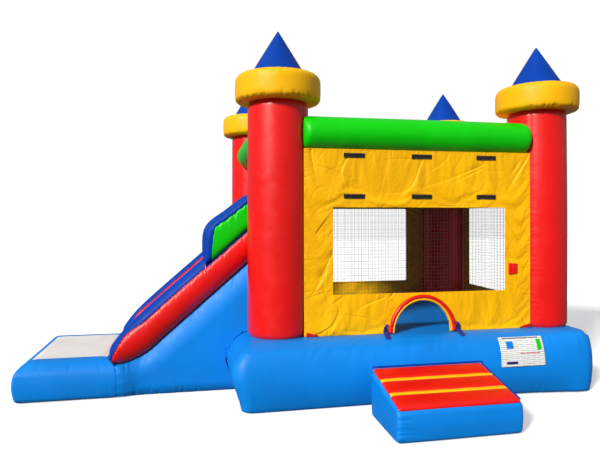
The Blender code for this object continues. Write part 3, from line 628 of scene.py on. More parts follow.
def make_tower(corner, seed):
    """A tower, creased along its two side seams and round its foot."""
    low, high = corners(f"tower_{corner}")
    centre = (low + high) / 2
    rise = np.linspace(low[2] - 0.004, high[2] + 0.004, 190)
    share = (rise - rise[0]) / (rise[-1] - rise[0])
    radius = TOWER_RADIUS - 0.003 + 0.005 * np.sin(math.pi * share)
    radius -= pinch(rise - rise[0], 0.022, 0.022) + pinch(rise[-1] - rise, 0.018, 0.03)
    grid = turned(np.stack((radius, rise), axis=1), centre, 112)
    height = grid[..., 2]
    turn = turn_of(grid, centre)
    depth = 0.0022 * ripple(grid * (1.0, 1.0, 0.45), 5.0, seed)
    round_it = 2 * math.pi * TOWER_RADIUS
    foot = folds(turn * TOWER_RADIUS, height - height[0], round_it, seed + 1, 0.045, 0.005, 0.07)
    depth -= foot
    sign_x, sign_y = corner_signs(corner)
    for seam in (math.atan2(sign_y, -sign_x), math.atan2(-sign_y, sign_x)):
        away = turn_gap(turn, seam) * TOWER_RADIUS
        depth -= pinch(away, 0.006, 0.02)
        strong = 1.0 if corner == "front_right" else 0.45
        creased = folds(height, away, 2.6, seed + 2, 0.032, 0.0050, 0.20, 0.0075, 0.2)
        depth -= strong * creased * np.clip(1.3 - 1.3 * share[:, None], 0.10, 1.0)
    grid = swell(grid, depth)
    piece(surface(f"tower_skin_{corner}", grid), "red", [f"tower_{corner}"])


def make_collar(corner, seed):
    """A squared ring round a tower's top, puckered at its two seams."""
    low, high = corners(f"collar_{corner}")
    centre = (low + high) / 2
    radius = (high[0] - low[0]) / 2
    bottom, top = low[2], high[2]
    profile = curve_through(
        (
            (0.02, bottom + 0.006),
            (TOWER_RADIUS - 0.03, bottom + 0.001),
            (radius - 0.070, bottom + 0.002),
            (radius - 0.022, bottom + 0.008),
            (radius - 0.006, bottom + 0.028),
            (radius, bottom + 0.090),
            (radius, top - 0.100),
            (radius - 0.008, top - 0.045),
            (radius - 0.034, top - 0.014),
            (radius - 0.080, top - 0.003),
            (TOWER_RADIUS - 0.05, top),
            (0.02, top - 0.004),
        ),
        64,
    )
    grid = turned(profile, centre, 176)
    around = turn_of(grid, centre) * radius
    walked = travelled(grid, 0)
    depth = 0.003 * ripple(grid, 6.0, seed)
    round_it = 2 * math.pi * radius
    for k, (seam_height, strong) in enumerate(((bottom + 0.016, 1.3), (top - 0.022, 0.7))):
        outer = profile[:, 0] > radius - 0.06
        row = np.where(outer, np.abs(profile[:, 1] - seam_height), 1.0).argmin()
        away = from_row(walked, row)
        depth -= strong * pinch(away, 0.006, 0.009)
        depth -= strong * folds(around, away, round_it, seed + 3 * k, 0.034, 0.016, 0.080, 0.0085, 0.3)
    grid = swell(grid, depth)
    piece(surface(f"collar_skin_{corner}", grid), "yellow", [f"collar_{corner}"])


def make_cone(corner, seed):
    """A cone of two halves, with its seams drawn in."""
    low, high = corners(f"cone_{corner}")
    centre = (low + high) / 2
    radius = (high[0] - low[0]) / 2
    foot, tip = low[2], high[2]
    share = np.linspace(0, 1, 60)
    width = radius * (1 - share) ** 0.97 + 0.004
    width -= pinch(share, 0.010, 0.02)
    profile = np.stack((width, foot - 0.003 + share * (tip - foot + 0.002)), axis=1)
    grid = turned(profile, centre, 96)
    turn = turn_of(grid, centre)
    away = grid[..., 2] - foot
    depth = 0.002 * ripple(grid, 6.0, seed)
    depth -= folds(turn * radius, away, 2 * math.pi * radius, seed, 0.05, 0.005, 0.09, 0.009, 0.3)
    for seam in (0.9, 0.9 + math.pi):
        depth -= pinch(turn_gap(turn, seam) * width[:, None], 0.0035, 0.008)
    depth *= np.clip(4 * (1 - share), 0, 1)[:, None]
    grid = swell(grid, depth)
    piece(surface(f"cone_skin_{corner}", grid), "royal", [f"cone_{corner}"])


# Beams -----------------------------------------------------------------------------


def make_beam(side, axis, seed):
    """A dome-ended roll, pressed in where it lies against its towers."""
    low, high = corners(f"beam_{side}")
    centre = (low + high) / 2
    radius = (high[2] - low[2]) / 2
    long_axis = 0 if axis == "X" else 1
    half = (high[long_axis] - low[long_axis]) / 2
    angle = np.linspace(-math.pi / 2, math.pi / 2, 24)
    cap = 0.55 * radius
    dome = np.stack((radius * np.cos(angle) ** 0.75, cap * np.sin(angle)), axis=1)
    start = dome[:12] + (0.0, -half + cap)
    end = dome[12:] + (0.0, half - cap)
    straight = np.linspace(-half + cap, half - cap, 150)[1:-1]
    shaft = np.stack((np.full(len(straight), radius), straight), axis=1)
    profile = np.vstack((start, shaft, end))
    turn = full_turn(64)
    along = np.broadcast_to(profile[:, 1:2], (len(profile), len(turn)))
    out = profile[:, 0:1] * np.cos(turn)
    up = profile[:, 0:1] * np.sin(turn)
    if side == "front":
        up = np.where(along < 0, radius * np.sin(turn), up)
    grid = np.empty((*along.shape, 3))
    grid[..., long_axis] = centre[long_axis] + along
    grid[..., 1 - long_axis] = centre[1 - long_axis] + out
    grid[..., 2] = centre[2] + up
    walked = travelled(grid, 0)
    depth = 0.0025 * ripple(grid * ((0.5, 1, 1) if axis == "X" else (1, 0.5, 1)), 6.0, seed)
    ring = turn[None] * radius + np.zeros_like(along)
    for sign in (-1, 1):
        away = np.abs(along - sign * (half - cap))
        depth -= pinch(away, 0.003, 0.008)
        depth -= folds(ring, away, 2 * math.pi * radius, seed + sign + 5, 0.05, 0.004, 0.10)
    for seam in (-2.1, -1.04):
        away = turn_gap(turn, seam)[None] * radius + 0 * ring
        depth -= folds(walked, away, 3.2, seed + 9, 0.06, 0.0045, 0.09, 0.008)
    normal = grid - centre
    normal[..., long_axis] = 0.0
    normal /= np.maximum(np.linalg.norm(normal, axis=2, keepdims=True), 1e-9)
    grid = grid + normal * depth[..., None]
    for corner in TOWERS:
        clear_of_tower(grid, corner)
    piece(surface(f"beam_skin_{side}", grid), "green", [f"beam_{side}"])


# Base ------------------------------------------------------------------------------


def outline_points(half_x, half_y, corner, count):
    """Evenly spaced points round a rounded rectangle about the origin."""
    points = []
    for quarter, (sign_x, sign_y) in enumerate(((1, 1), (-1, 1), (-1, -1), (1, -1))):
        for step in range(17):
            angle = math.radians(90 * (quarter + step / 16))
            points.append((sign_x * (half_x - corner) + corner * math.cos(angle),
                           sign_y * (half_y - corner) + corner * math.sin(angle)))
    ring = np.array(points + points[:1])
    return spaced(ring, count + 1)[:-1]


def cushion_grid(low, high, corner, edge, around, levels):
    """A cushion whose outline steps in with height; edge holds (height, inset) rows."""
    centre = (low + high) / 2
    half = (high - low) / 2
    widest = outline_points(half[0], half[1], corner, around)
    core = outline_points(half[0] - corner, half[1] - corner, 1e-4, around)
    inward = core - widest
    inward /= np.maximum(np.linalg.norm(inward, axis=1, keepdims=True), 1e-9)
    path = curve_through(edge, levels)
    rows = []
    for height, inset in path:
        ring = widest + inward * min(inset, corner)
        if inset > corner:
            ring = core * (1 - (inset - corner) / (half[:2] - corner))
        rows.append(np.column_stack((ring + centre[:2], np.full(around, height))))
    return np.array(rows), path


def round_rows(grid):
    """Distance round a cushion's middle row, given to every row, and the whole of it."""
    length = travelled(grid, 1)
    mid = len(grid) // 2
    along = np.broadcast_to(length[mid : mid + 1], length.shape)
    return along, float(along[0, -1])


def make_base():
    """The base: its right end is fuller and drawn in, its left end leans out from its foot."""
    around = 620
    edge = [(0.0, 0.60), (0.0, 0.30), *BASE_EDGE, (0.6755, 0.42), (0.6755, 0.75)]
    grid, path = cushion_grid(BASE_LOW, BASE_HIGH, 0.15, edge, around, 52)
    widest_height, right_start, right_reach = 0.342, 1.9, 1.1
    widest = grid[np.abs(path[:, 0] - widest_height).argmin()]
    right = np.clip((grid[..., 0] - right_start) / right_reach, 0, 1) ** 2
    side_rows = (grid[..., 2:] > 0.01) * (grid[..., 2:] < 0.672)
    grid[..., :2] += 0.72 * right[..., None] * (widest - grid)[..., :2] * side_rows
    grid[..., 0] -= 0.120 * np.clip((grid[..., 0] - right_start) / right_reach, 0, 1)
    left = np.clip((-0.45 - grid[..., 0]) / 0.45, 0, 1) ** 2
    levels = (0, 0.076, 0.209, 0.342, 0.42)
    grid[..., 0] -= left * np.interp(grid[..., 2], levels, (0.005, -0.040, -0.047, -0.012, 0))
    along, round_it = round_rows(grid)
    round_it += 0.02
    walked = travelled(grid, 0)
    top_row = np.abs(path[:, 0] - 0.62).argmin()
    foot_row = np.abs(path[:, 0] - 0.05)[: len(path) // 2].argmin()
    depth = 0.004 * ripple(grid, 2.6, 40)
    from_top, from_foot = from_row(walked, top_row), from_row(walked, foot_row)
    depth -= folds(along, from_top, round_it, 41, 0.16, 0.010, 0.26, 0.016, 0.25)
    depth -= folds(along, from_foot, round_it, 42, 0.10, 0.010, 0.17, 0.012, 0.5)
    over_ramp = fading(grid[..., 0] - middle("ramp_body")[0], 0.5) * (grid[..., 1] < FRONT_Y)
    depth -= over_ramp * folds(along, from_top, round_it, 43, 0.035, 0.009, 0.24, 0.012, 0.15)
    depth *= np.clip(grid[..., 2] / 0.04, 0, 1)
    grid = swell(grid, depth)
    piece(surface("base_skin", grid), "blue", ["base_cushion"])


# Settings for the walls, and the cloth simulation ----------------------------------


def settle(obj, hold, slack, normal, cap, gravity=1.0, seed=0):
    """Let a sheet with slack as its share of spare cloth fold between the points that
    hold it. No point moves further than cap."""
    rng = np.random.default_rng(seed)
    frames = 22
    rest = points_of(obj.data)
    start = rest + np.outer(rng.uniform(-0.002, 0.002, len(rest)) * (1 - hold), normal)
    set_points(obj.data, start)
    group = obj.vertex_groups.new(name="hold")
    for level in np.unique(np.round(hold, 2)):
        if level > 0:
            group.add(np.flatnonzero(np.round(hold, 2) == level).tolist(), float(level), "REPLACE")
    cloth_mod = obj.modifiers.new("cloth", "CLOTH")
    settings = cloth_mod.settings
    settings.quality = 6
    settings.mass = 0.4
    settings.tension_stiffness = 30
    settings.compression_stiffness = 30
    settings.shear_stiffness = 12
    settings.bending_stiffness = 1.5
    settings.air_damping = 2.0
    settings.vertex_group_mass = "hold"
    settings.shrink_min = -slack
    settings.effector_weights.gravity = gravity
    cloth_mod.collision_settings.use_collision = False
    cloth_mod.collision_settings.use_self_collision = False
    scene = bpy.context.scene
    scene.frame_start, scene.frame_end = 1, frames
    cloth_mod.point_cache.frame_start, cloth_mod.point_cache.frame_end = 1, frames
    for number in range(1, frames + 1):
        scene.frame_set(number)
    graph = bpy.context.evaluated_depsgraph_get()
    move = points_of(obj.evaluated_get(graph).to_mesh()) - rest
    obj.evaluated_get(graph).to_mesh_clear()
    obj.modifiers.remove(cloth_mod)
    scene.frame_set(1)
    size = np.linalg.norm(move, axis=1, keepdims=True)
    move *= np.minimum(1.0, cap / np.maximum(size, 1e-9))
    set_points(obj.data, rest + move)


def lines_between(breaks, spacing):
    """Grid lines that pass through each break, about spacing apart."""
    lines = [np.array([breaks[0]])]
    for start, end in zip(breaks, breaks[1:]):
        lines.append(np.linspace(start, end, max(2, round((end - start) / spacing) + 1))[1:])
    return np.concatenate(lines)


# Creases of the front wall: points as (share of the width, share of the height) and depth
FRONT_CREASES = (
    (((0.03, 1.0), (0.04, 0.92), (0.05, 0.85)), 0.020),
    (((0.18, 0.95), (0.155, 0.87), (0.18, 0.77)), 0.014),
    (((0.50, 0.93), (0.44, 0.78), (0.29, 0.76)), 0.012),
    (((0.775, 0.92), (0.62, 0.84), (0.52, 0.80), (0.49, 0.77)), 0.012),
    (((0.77, 0.90), (0.66, 0.83), (0.63, 0.81)), 0.010),
    (((0.985, 0.96), (0.93, 0.85), (0.885, 0.76)), 0.018),
    (((0.95, 0.94), (0.90, 0.85)), 0.012),
    (((0.985, 0.54), (0.93, 0.62), (0.88, 0.67)), 0.014),
    (((0.95, 0.49), (0.91, 0.57), (0.88, 0.65)), 0.010),
    (((0.055, 0.56), (0.09, 0.62), (0.12, 0.67)), 0.012),
    (((0.12, 0.44), (0.09, 0.36), (0.06, 0.29)), 0.020),
    (((0.09, 0.34), (0.06, 0.27), (0.03, 0.21)), 0.018),
    (((0.03, 0.0), (0.105, 0.05), (0.14, 0.13), (0.125, 0.19)), 0.016),
    (((0.33, 0.19), (0.235, 0.14), (0.22, 0.07)), 0.012),
    (((0.375, 0.21), (0.335, 0.17)), 0.010),
    (((0.79, 0.19), (0.835, 0.07)), 0.012),
    (((0.97, 0.04), (0.90, 0.14), (0.81, 0.22)), 0.014),
)


def refine(obj, levels):
    """Split each face in four, smoothly, once or twice."""
    finer = obj.modifiers.new("finer", "SUBSURF")
    finer.levels = finer.render_levels = levels
    apply_modifiers(obj)


def crease_panel(obj, run, low, high, creases):
    """Press drawn creases into a wall, deepest where each starts, and fine ones by its edges."""
    spots = points_of(obj.data)
    wide, tall = high[run] - low[run], high[2] - low[2]
    a, z = spots[:, run] - low[run], spots[:, 2] - low[2]
    depth = np.zeros(len(spots))
    for points, deep in creases:
        line = curve_through(np.array(points) * (wide, tall), 60)
        flat = np.stack((a, z), axis=1)[:, None] - line[None]
        gap = np.linalg.norm(flat, axis=2)
        nearest = gap.argmin(axis=1)
        away = gap[np.arange(len(gap)), nearest]
        fade = (1 - nearest / 59) ** 0.7
        width = 0.016 + 0.020 * nearest / 59
        ahead = np.gradient(line, axis=0)[nearest]
        step = flat[np.arange(len(gap)), nearest]
        sharp = ahead[:, 0] * step[:, 1] - ahead[:, 1] * step[:, 0] > 0
        depth -= deep * fade * np.exp(-away / np.where(sharp, 0.18 * width, 1.7 * width))
    rng = np.random.default_rng(17)
    for _ in range(190 if creases else 70):
        start = rng.uniform((0, 0), (wide, tall))
        turn = rng.normal(0.9 if start[0] < wide / 2 else 2.2, 0.7)
        way = np.array((math.cos(turn), math.sin(turn)))
        long = rng.uniform(0.10, 0.42)
        offset = np.stack((a, z), axis=1) - start
        along = offset @ way
        across = offset @ (-way[1], way[0]) + 0.05 * (along / long) ** 2
        fade = np.clip(1 - np.abs(along) / long, 0, 1) ** 0.8
        reach = np.where(across > 0, 0.003, rng.uniform(0.012, 0.045))
        depth -= rng.uniform(-0.004, 0.0065) * fade * np.exp(-np.abs(across) / reach)
    sides = ((z, a, tall), (z, wide - a, tall), (a, tall - z, wide), (a, z, wide))
    for seed, (along, away, length) in enumerate(sides, 5):
        depth -= folds(along, away, length, seed, 0.07, 0.007, 0.14, 0.008, 0.6)
    outward = -1.0 if run == 0 and low[1] < CENTRE_Y or run == 1 and low[0] < CENTRE_X else 1.0
    edge = np.minimum.reduce((a, wide - a, z, tall - z))
    spots[:, 1 - run] += outward * depth * np.clip(edge / 0.02, 0, 1)
    set_points(obj.data, spots)


def make_panel(name, node, axis, window, spacing, slack, seed, arch=None, flats=(), creases=()):
    """A wall: a sheet with a window and perhaps an arched doorway, folded where it hangs
    free. window is (low, high) along the wall and (low, high) upwards."""
    low, high = corners(node)
    run = 0 if axis == "X" else 1
    (win_a, win_b), (win_low, win_high) = window
    a_lines = lines_between((low[run], win_a, win_b, high[run]), spacing)
    z_lines = lines_between((low[2], win_low, win_high, high[2]), spacing)
    a, z = np.meshgrid(a_lines, z_lines)
    index = np.arange(a.size).reshape(a.shape)
    quads = np.stack((index[:-1, :-1], index[:-1, 1:], index[1:, 1:], index[1:, :-1]), -1).reshape(-1, 4)
    a, z = a.ravel(), z.ravel()
    mid_a, mid_z = a[quads].mean(axis=1), z[quads].mean(axis=1)
    keep = ~((mid_a > win_a) & (mid_a < win_b) & (mid_z > win_low) & (mid_z < win_high))
    hold = np.zeros(len(a))
    edge = np.minimum.reduce((a - low[run], high[run] - a, high[2] - z, z - low[2]))
    hold[edge < 1e-6] = 1.0
    beside = np.maximum(np.maximum(win_a - a, a - win_b), np.maximum(win_low - z, z - win_high))
    hold[np.abs(beside) < 0.012] = 1.0
    if arch:
        centre, half, rise = arch
        inside = np.hypot((mid_a - centre) / half, (mid_z - low[2]) / rise)
        keep &= inside > 1.0
        share = np.hypot((a - centre) / half, (z - low[2]) / rise)
        used = np.zeros(len(a), bool)
        used[quads[keep]] = True
        pull = used & (share < 1.0) & (z > low[2] + 1e-6)
        a = np.where(pull, centre + (a - centre) / np.maximum(share, 0.3), a)
        z = np.where(pull, low[2] + (z - low[2]) / np.maximum(share, 0.3), z)
        hold[np.abs(share - 1.0) < 0.09] = 1.0
    for flat_low, flat_high in flats:
        inside = (a > flat_low[0]) & (a < flat_high[0]) & (z > flat_low[1]) & (z < flat_high[1])
        hold[inside] = 1.0
    verts = np.zeros((len(a), 3))
    verts[:, run] = a
    verts[:, 1 - run] = (low[1 - run] + high[1 - run]) / 2
    verts[:, 2] = z
    quads = quads[keep]
    used = np.unique(quads)
    renumber = np.full(len(a), -1)
    renumber[used] = np.arange(len(used))
    mesh = bpy.data.meshes.new(name)
    mesh.from_pydata(verts[used].tolist(), [], renumber[quads].tolist())
    mesh.shade_smooth()
    obj = new_object(name, mesh)
    normal = np.zeros(3)
    normal[1 - run] = 1.0
    settle(obj, hold[used], slack, normal, 0.022, seed=seed)
    refine(obj, 2 if creases else 1)
    crease_panel(obj, run, low, high, creases)
    area = (high[run] - low[run]) * (high[2] - low[2]) - (win_b - win_a) * (win_high - win_low)
    if arch:
        area -= math.pi * arch[1] * arch[2] / 2
    piece(thicken(obj, 0.003), "panel", [node])


def window_of(net, axis):
    """The opening that a net closes: the net laps its edges by 25 mm."""
    low, high = corners(net)
    run = 0 if axis == "X" else 1
    lap = 0.025
    return (low[run] + lap, high[run] - lap), (low[2] + lap, high[2] - lap)


def make_walls():
    """The four walls. The front one stays flat under the fittings sewn to it."""
    arch_low, arch_high = corners("arch_trim")
    trim = 0.032
    half = (arch_high[0] - arch_low[0]) / 2 - 2 * trim
    rise = arch_high[2] - arch_low[2] - 2 * trim
    flats = []
    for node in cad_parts:
        if node.startswith(("hook_strip", "pull_tab", "buckle_socket")):
            low, high = corners(node)
            flats.append(((low[0] - 0.008, low[2] - 0.008), (high[0] + 0.008, high[2] + 0.008)))
    arch = (CENTRE_X, half, rise)
    front = window_of("net_front", "X")
    make_panel("front_wall_sheet", "wall_front", "X", front, 0.020, 0.006, 1, arch, flats, FRONT_CREASES)
    make_panel("back_wall_sheet", "wall_back", "X", window_of("net_back", "X"), 0.03, 0.014, 2)
    make_panel("right_wall_sheet", "wall_right", "Y", window_of("net_right", "Y"), 0.03, 0.014, 3)
    to_slide = ((CENTRE_Y - 0.79, CENTRE_Y + 0.06), (1.64, 2.50))
    make_panel("left_wall_sheet", "wall_left", "Y", to_slide, 0.03, 0.014, 4)


def make_net(name, node, axis, pitch, seed):
    """Square netting: one cord for each line, a little slack between its knots."""
    low, high = corners(node)
    run = 0 if axis == "X" else 1
    rng = np.random.default_rng(seed)
    plane = (low[1 - run] + high[1 - run]) / 2
    verts, faces = [], []

    def cord(start, end, across):
        steps = 18
        share = np.linspace(0, 1, steps)[:, None]
        line = np.array(start) + (np.array(end) - np.array(start)) * share
        sway = 0.0008 * np.sin(share * rng.uniform(5, 11) + rng.uniform(0, 6)) * np.sin(math.pi * share)
        line[:, across : across + 1] += sway
        thick = 0.0009
        for k, spot in enumerate(line):
            for du, dv in ((-thick, -thick), (thick, -thick), (thick, thick), (-thick, thick)):
                corner = spot.copy()
                corner[across] += du
                corner[1 - run] += dv
                verts.append(corner)
            if k:
                base = len(verts) - 8
                for side in range(4):
                    other = (side + 1) % 4
                    faces.append((base + side, base + other, base + 4 + other, base + 4 + side))
        first = len(verts) - 4 * steps
        faces.append((first + 3, first + 2, first + 1, first))
        faces.append(tuple(range(len(verts) - 4, len(verts))))

    for across in (run, 2):
        count = round((high[across] - low[across]) / pitch) + 1
        for place in np.linspace(low[across], high[across], count):
            start, end = low.copy(), high.copy()
            start[across] = end[across] = place
            start[1 - run] = end[1 - run] = plane
            cord(start, end, across)
    mesh = bpy.data.meshes.new(name)
    mesh.from_pydata([tuple(v) for v in verts], [], faces)
    piece(new_object(name, mesh), "net", [node])


# Padded shapes with seams ------------------------------------------------------------


def inward(loop):
    """Unit vectors that point into a closed outline in its own plane."""
    ahead = np.roll(loop, -1, 0) - np.roll(loop, 1, 0)
    side = np.stack((-ahead[:, 1], ahead[:, 0]), axis=1)
    side /= np.maximum(np.linalg.norm(side, axis=1, keepdims=True), 1e-9)
    x, y = loop.T
    turning = (x * np.roll(y, -1) - np.roll(x, -1) * y).sum()
    return side if turning > 0 else -side


def rounded_loop(corners_in, radius, count):
    """An evenly spaced closed outline whose corners are rounded."""
    points = np.array(corners_in, float)
    ring = []
    for before, here, after in zip(np.roll(points, 1, 0), points, np.roll(points, -1, 0)):
        back, ahead = before - here, after - here
        reach = min(radius, np.linalg.norm(back) / 2.2, np.linalg.norm(ahead) / 2.2)
        start = here + back / np.linalg.norm(back) * reach
        end = here + ahead / np.linalg.norm(ahead) * reach
        share = np.linspace(0, 1, 9)[:, None]
        ring.append((1 - share) ** 2 * start + 2 * share * (1 - share) * here + share**2 * end)
    ring = np.vstack(ring)
    return spaced(np.vstack((ring, ring[:1])), count + 1)[:-1]


def bolster_grid(loop, axis, span, rounding, depth, bulge, rows):
    """A pillow made of an outline swept along an axis: its two faces are rounded by
    rounding over depth, then swell by bulge."""
    side = inward(loop)
    heart = loop.mean(axis=0)
    turn = np.linspace(math.pi / 2, 0, 10)
    edge = [(rounding * (1 - np.cos(t)), depth * (1 - math.sin(t))) for t in turn]
    face = loop + side * edge[0][0]
    rings = []
    for share in np.linspace(1, 0, 16)[:-1]:
        rings.append((face + (heart - face) * share, -bulge * (1 - (1 - share) ** 2)))
    rings += [(loop + side * inset, back) for inset, back in edge]
    low = [(ring, span[0] + back) for ring, back in rings]
    high = [(ring, span[1] - back) for ring, back in reversed(rings)]
    inner = np.linspace(span[0] + depth, span[1] - depth, rows)[1:-1]
    places = low + [(loop, spot) for spot in inner] + high
    grid = np.empty((len(places), len(loop), 3))
    plane = [k for k in range(3) if k != axis]
    for row, (ring, spot) in enumerate(places):
        grid[row][:, plane] = ring
        grid[row][:, axis] = spot
    return grid, len(rings)


def crease_ends(grid, seam_row, loop_length, seed, **how):
    """Folds that run both ways from the seams round a bolster's two faces."""
    along = round_rows(grid)[0]
    walked = travelled(grid, 0)
    total = np.zeros(grid.shape[:2])
    for number, row in enumerate((seam_row, grid.shape[0] - 1 - seam_row)):
        away = from_row(walked, row)
        total += folds(along, away, loop_length, seed + number, **how)
    return total


class Pod:
    """An upright padded wall cut into upright sections, from a rounded front at its low
    x to its far end: a panel on its two faces, a boxing strip over its top and front."""

    def __init__(self, lower, upper, span, panel_height, rows=420, roundness=2.5, nose=0.16, full=0.0):
        low, high = curve_through(lower, 500), curve_through(upper, 500)
        start, end = low[0, 0], low[-1, 0]
        self.x = start + (end - start) * (1 - np.cos(np.linspace(0.02, math.pi / 2, rows)))
        self.low = np.interp(self.x, np.maximum.accumulate(low[:, 0]), low[:, 1])
        self.high = np.interp(self.x, np.maximum.accumulate(high[:, 0]), high[:, 1])
        self.high = np.maximum(self.high, self.low + 0.004)
        self.middle = (span[0] + span[1]) / 2
        self.roundness = roundness
        near_tip = np.clip(1 - (self.x - start) / nose, 0, 1)
        self.half = (span[1] - span[0]) / 2 * np.maximum(1 - near_tip**2.6, 1e-4) ** (1 / 2.6)
        tall = self.high - self.low
        self.seam = np.clip(panel_height(self.x, tall) / tall, 0.0, 0.975)
        wanted = np.where(self.x > start + 0.9, full, 0.0)
        self.cut = tall / np.maximum(tall, wanted)

    def part(self, which, columns, seed, **how):
        rows = self.seam > 0.04 if which == "panel" else self.seam > -1
        seam = self.seam[rows, None]
        if which == "panel":
            turn = np.linspace(0, 2 * math.pi, columns)[None]
            share = seam * (1 + np.cos(turn)) / 2
            side = np.where(turn < math.pi, -1.0, 1.0)
        else:
            turn = np.linspace(-math.pi / 2, math.pi / 2, columns)[None]
            share = seam + (1 - seam) * np.cos(turn)
            side = np.sign(turn)
        place = np.abs(2 * share * self.cut[rows, None] - 1)
        width = np.maximum(1 - place**self.roundness, 0) ** (1 / self.roundness)
        low, high, half = self.low[rows, None], self.high[rows, None], self.half[rows, None]
        grid = np.empty((*share.shape, 3))
        grid[..., 0] = self.x[rows, None]
        grid[..., 1] = self.middle + half * width * side
        grid[..., 2] = low + (high - low) * share
        walked = travelled(grid, 1)
        away = np.minimum(walked, walked[:, -1:] - walked)
        along = np.broadcast_to(travelled(grid, 0)[:, :1], away.shape)
        depth = 0.002 * ripple(grid, 6.0, seed) - pinch(away, 0.009, 0.014)
        near_tip = np.clip(half / half.max(), 0.05, 1)
        depth -= folds(along, away, 3.0, seed, **how) * near_tip
        grid[..., 1] += side * depth
        if which == "cap":
            grid[..., 2] += depth * np.cos(turn) * np.clip(near_tip, 0.3, 1)
        return grid


# Slide -----------------------------------------------------------------------------

SLOPE = math.tan(math.radians(41.0))
SLIDE_END = corners("slide_lane")[1][0]
SLIDE_TOP = SLIDE_END - 0.155  # the slope ends here, and the rest runs level
CREST_X = SLIDE_TOP - 0.085
CREST_Z = 1.418
NOSE_X = corners("slide_wall_near")[0][0]
NOSE_Z = corners("slide_wall_near")[0][2]
WALL_HIGH = 0.50  # of the slide's walls over that line, up to the guards
SHOULDER = 0.376  # their height under the guards


def on_slope(x, rise=0.0):
    """A point of the line that the slide's walls stand on, lifted by rise."""
    return x, CREST_Z + rise + (min(x, SLIDE_TOP) - CREST_X) * SLOPE


def foot_points():
    """The walls' lower edge from the tip up to where it joins the slope."""
    return [
        (NOSE_X + 0.08, NOSE_Z + 0.004),
        (NOSE_X + 0.21, NOSE_Z + 0.035),
        on_slope(NOSE_X + 0.38),
        on_slope(NOSE_X + 0.55),
    ]


def slide_line(xs):
    """Height of the line that the slide's walls stand on, at each x."""
    foot = curve_through(foot_points(), 80)
    slope = np.array([on_slope(x)[1] for x in xs])
    return np.where(xs < foot[-1, 0], np.interp(xs, foot[:, 0], foot[:, 1]), slope)


def make_slide_wall(side, seed):
    """One of the slide's side walls: red faces and a blue roll over its edge."""
    low, high = corners(f"slide_wall_{side}")
    tip = (NOSE_X - 0.028, NOSE_Z + 0.110)
    middle_x = (SLIDE_TOP + NOSE_X) / 2
    lower = [tip, (NOSE_X - 0.010, NOSE_Z + 0.035), *foot_points(), on_slope(middle_x),
             on_slope(SLIDE_TOP - 0.02), on_slope(SLIDE_TOP + 0.02), on_slope(SLIDE_END)]
    crest = corners(f"slide_guard_{side}")[0][0]
    upper = [
        tip,
        (NOSE_X - 0.018, NOSE_Z + 0.185),
        (NOSE_X + 0.060, NOSE_Z + 0.300),
        on_slope(NOSE_X + 0.20, WALL_HIGH - 0.012),
        on_slope((crest + NOSE_X) / 2, WALL_HIGH),
        on_slope(crest - 0.10, WALL_HIGH),
        on_slope(crest, WALL_HIGH - 0.002),
        on_slope(crest + 0.020, WALL_HIGH - 0.030),
        on_slope(crest + 0.028, SHOULDER + 0.020),
        on_slope(crest + 0.060, SHOULDER + 0.001),
        on_slope((SLIDE_TOP + crest) / 2, SHOULDER),
        on_slope(SLIDE_TOP - 0.02, SHOULDER),
        on_slope(SLIDE_TOP + 0.02, SHOULDER),
        on_slope(SLIDE_END, SHOULDER),
    ]

    def panel_height(x, tall):
        front = np.clip((x - NOSE_X + 0.005) / 0.20, 0, 1)
        wide = 0.030 + (0.094 if side == "near" else 0.036) * np.clip((x - NOSE_X) / 0.35, 0, 1)
        rim = np.where(x > crest + 0.02, 0.012, wide)
        return (tall - rim) * np.sqrt(1 - (1 - front) ** 2)

    span = (low[1], high[1])
    pod = Pod(lower, upper, span, panel_height, roundness=2.0, nose=0.11, full=WALL_HIGH)
    panel = pod.part("panel", 90, seed, spacing=0.032, depth=0.008, reach=0.10, width=0.009)
    cap = pod.part("cap", 50, seed + 1, spacing=0.035, depth=0.004, reach=0.05, width=0.008)
    if side == "near":
        panel, cap = clear_of_tower(panel, "front_left"), clear_of_tower(cap, "front_left")
    piece(shell(f"slide_side_{side}", panel), "red", [f"slide_wall_{side}"])
    piece(shell(f"slide_cap_{side}", cap), "royal")


def make_guard(side, seed):
    """The raised guard at the top of a slide wall."""
    low, high = corners(f"slide_guard_{side}")
    front, top = low[0], high[2]
    foot = SHOULDER + 0.004
    start = on_slope(front, foot + 0.012)
    lower = [start, on_slope(front + 0.02, foot), on_slope((SLIDE_TOP + front) / 2, foot),
             on_slope(SLIDE_TOP - 0.02, foot), on_slope(SLIDE_TOP + 0.02, foot), on_slope(SLIDE_END, foot)]
    upper = [
        start,
        (front + 0.001, start[1] + 0.10),
        (front + 0.003, start[1] + 0.28),
        (front + 0.030, start[1] + 0.42),
        (front + 0.115, start[1] + 0.535),
        (front + 0.300, top - 0.245),
        (SLIDE_TOP, top - 0.052),
        (SLIDE_END, top),
    ]

    def panel_height(x, tall):
        forward = np.clip((x - front - 0.095) / 0.045, 0, 1)
        return (tall - 0.090) * np.sqrt(1 - (1 - forward) ** 2)

    pod = Pod(lower, upper, (low[1], high[1]), panel_height, rows=300, roundness=3.6, nose=0.09)
    panel = pod.part("panel", 90, seed, spacing=0.085, depth=0.020, reach=0.17, width=0.016, lean=0.5)
    cap = pod.part("cap", 40, seed + 1, spacing=0.022, depth=0.005, reach=0.08, width=0.006)
    if side == "near":
        panel, cap = clear_of_tower(panel, "front_left"), clear_of_tower(cap, "front_left")
    piece(shell(f"guard_panel_{side}", panel), "green", [f"slide_guard_{side}"])
    piece(shell(f"guard_rim_{side}", cap), "royal")


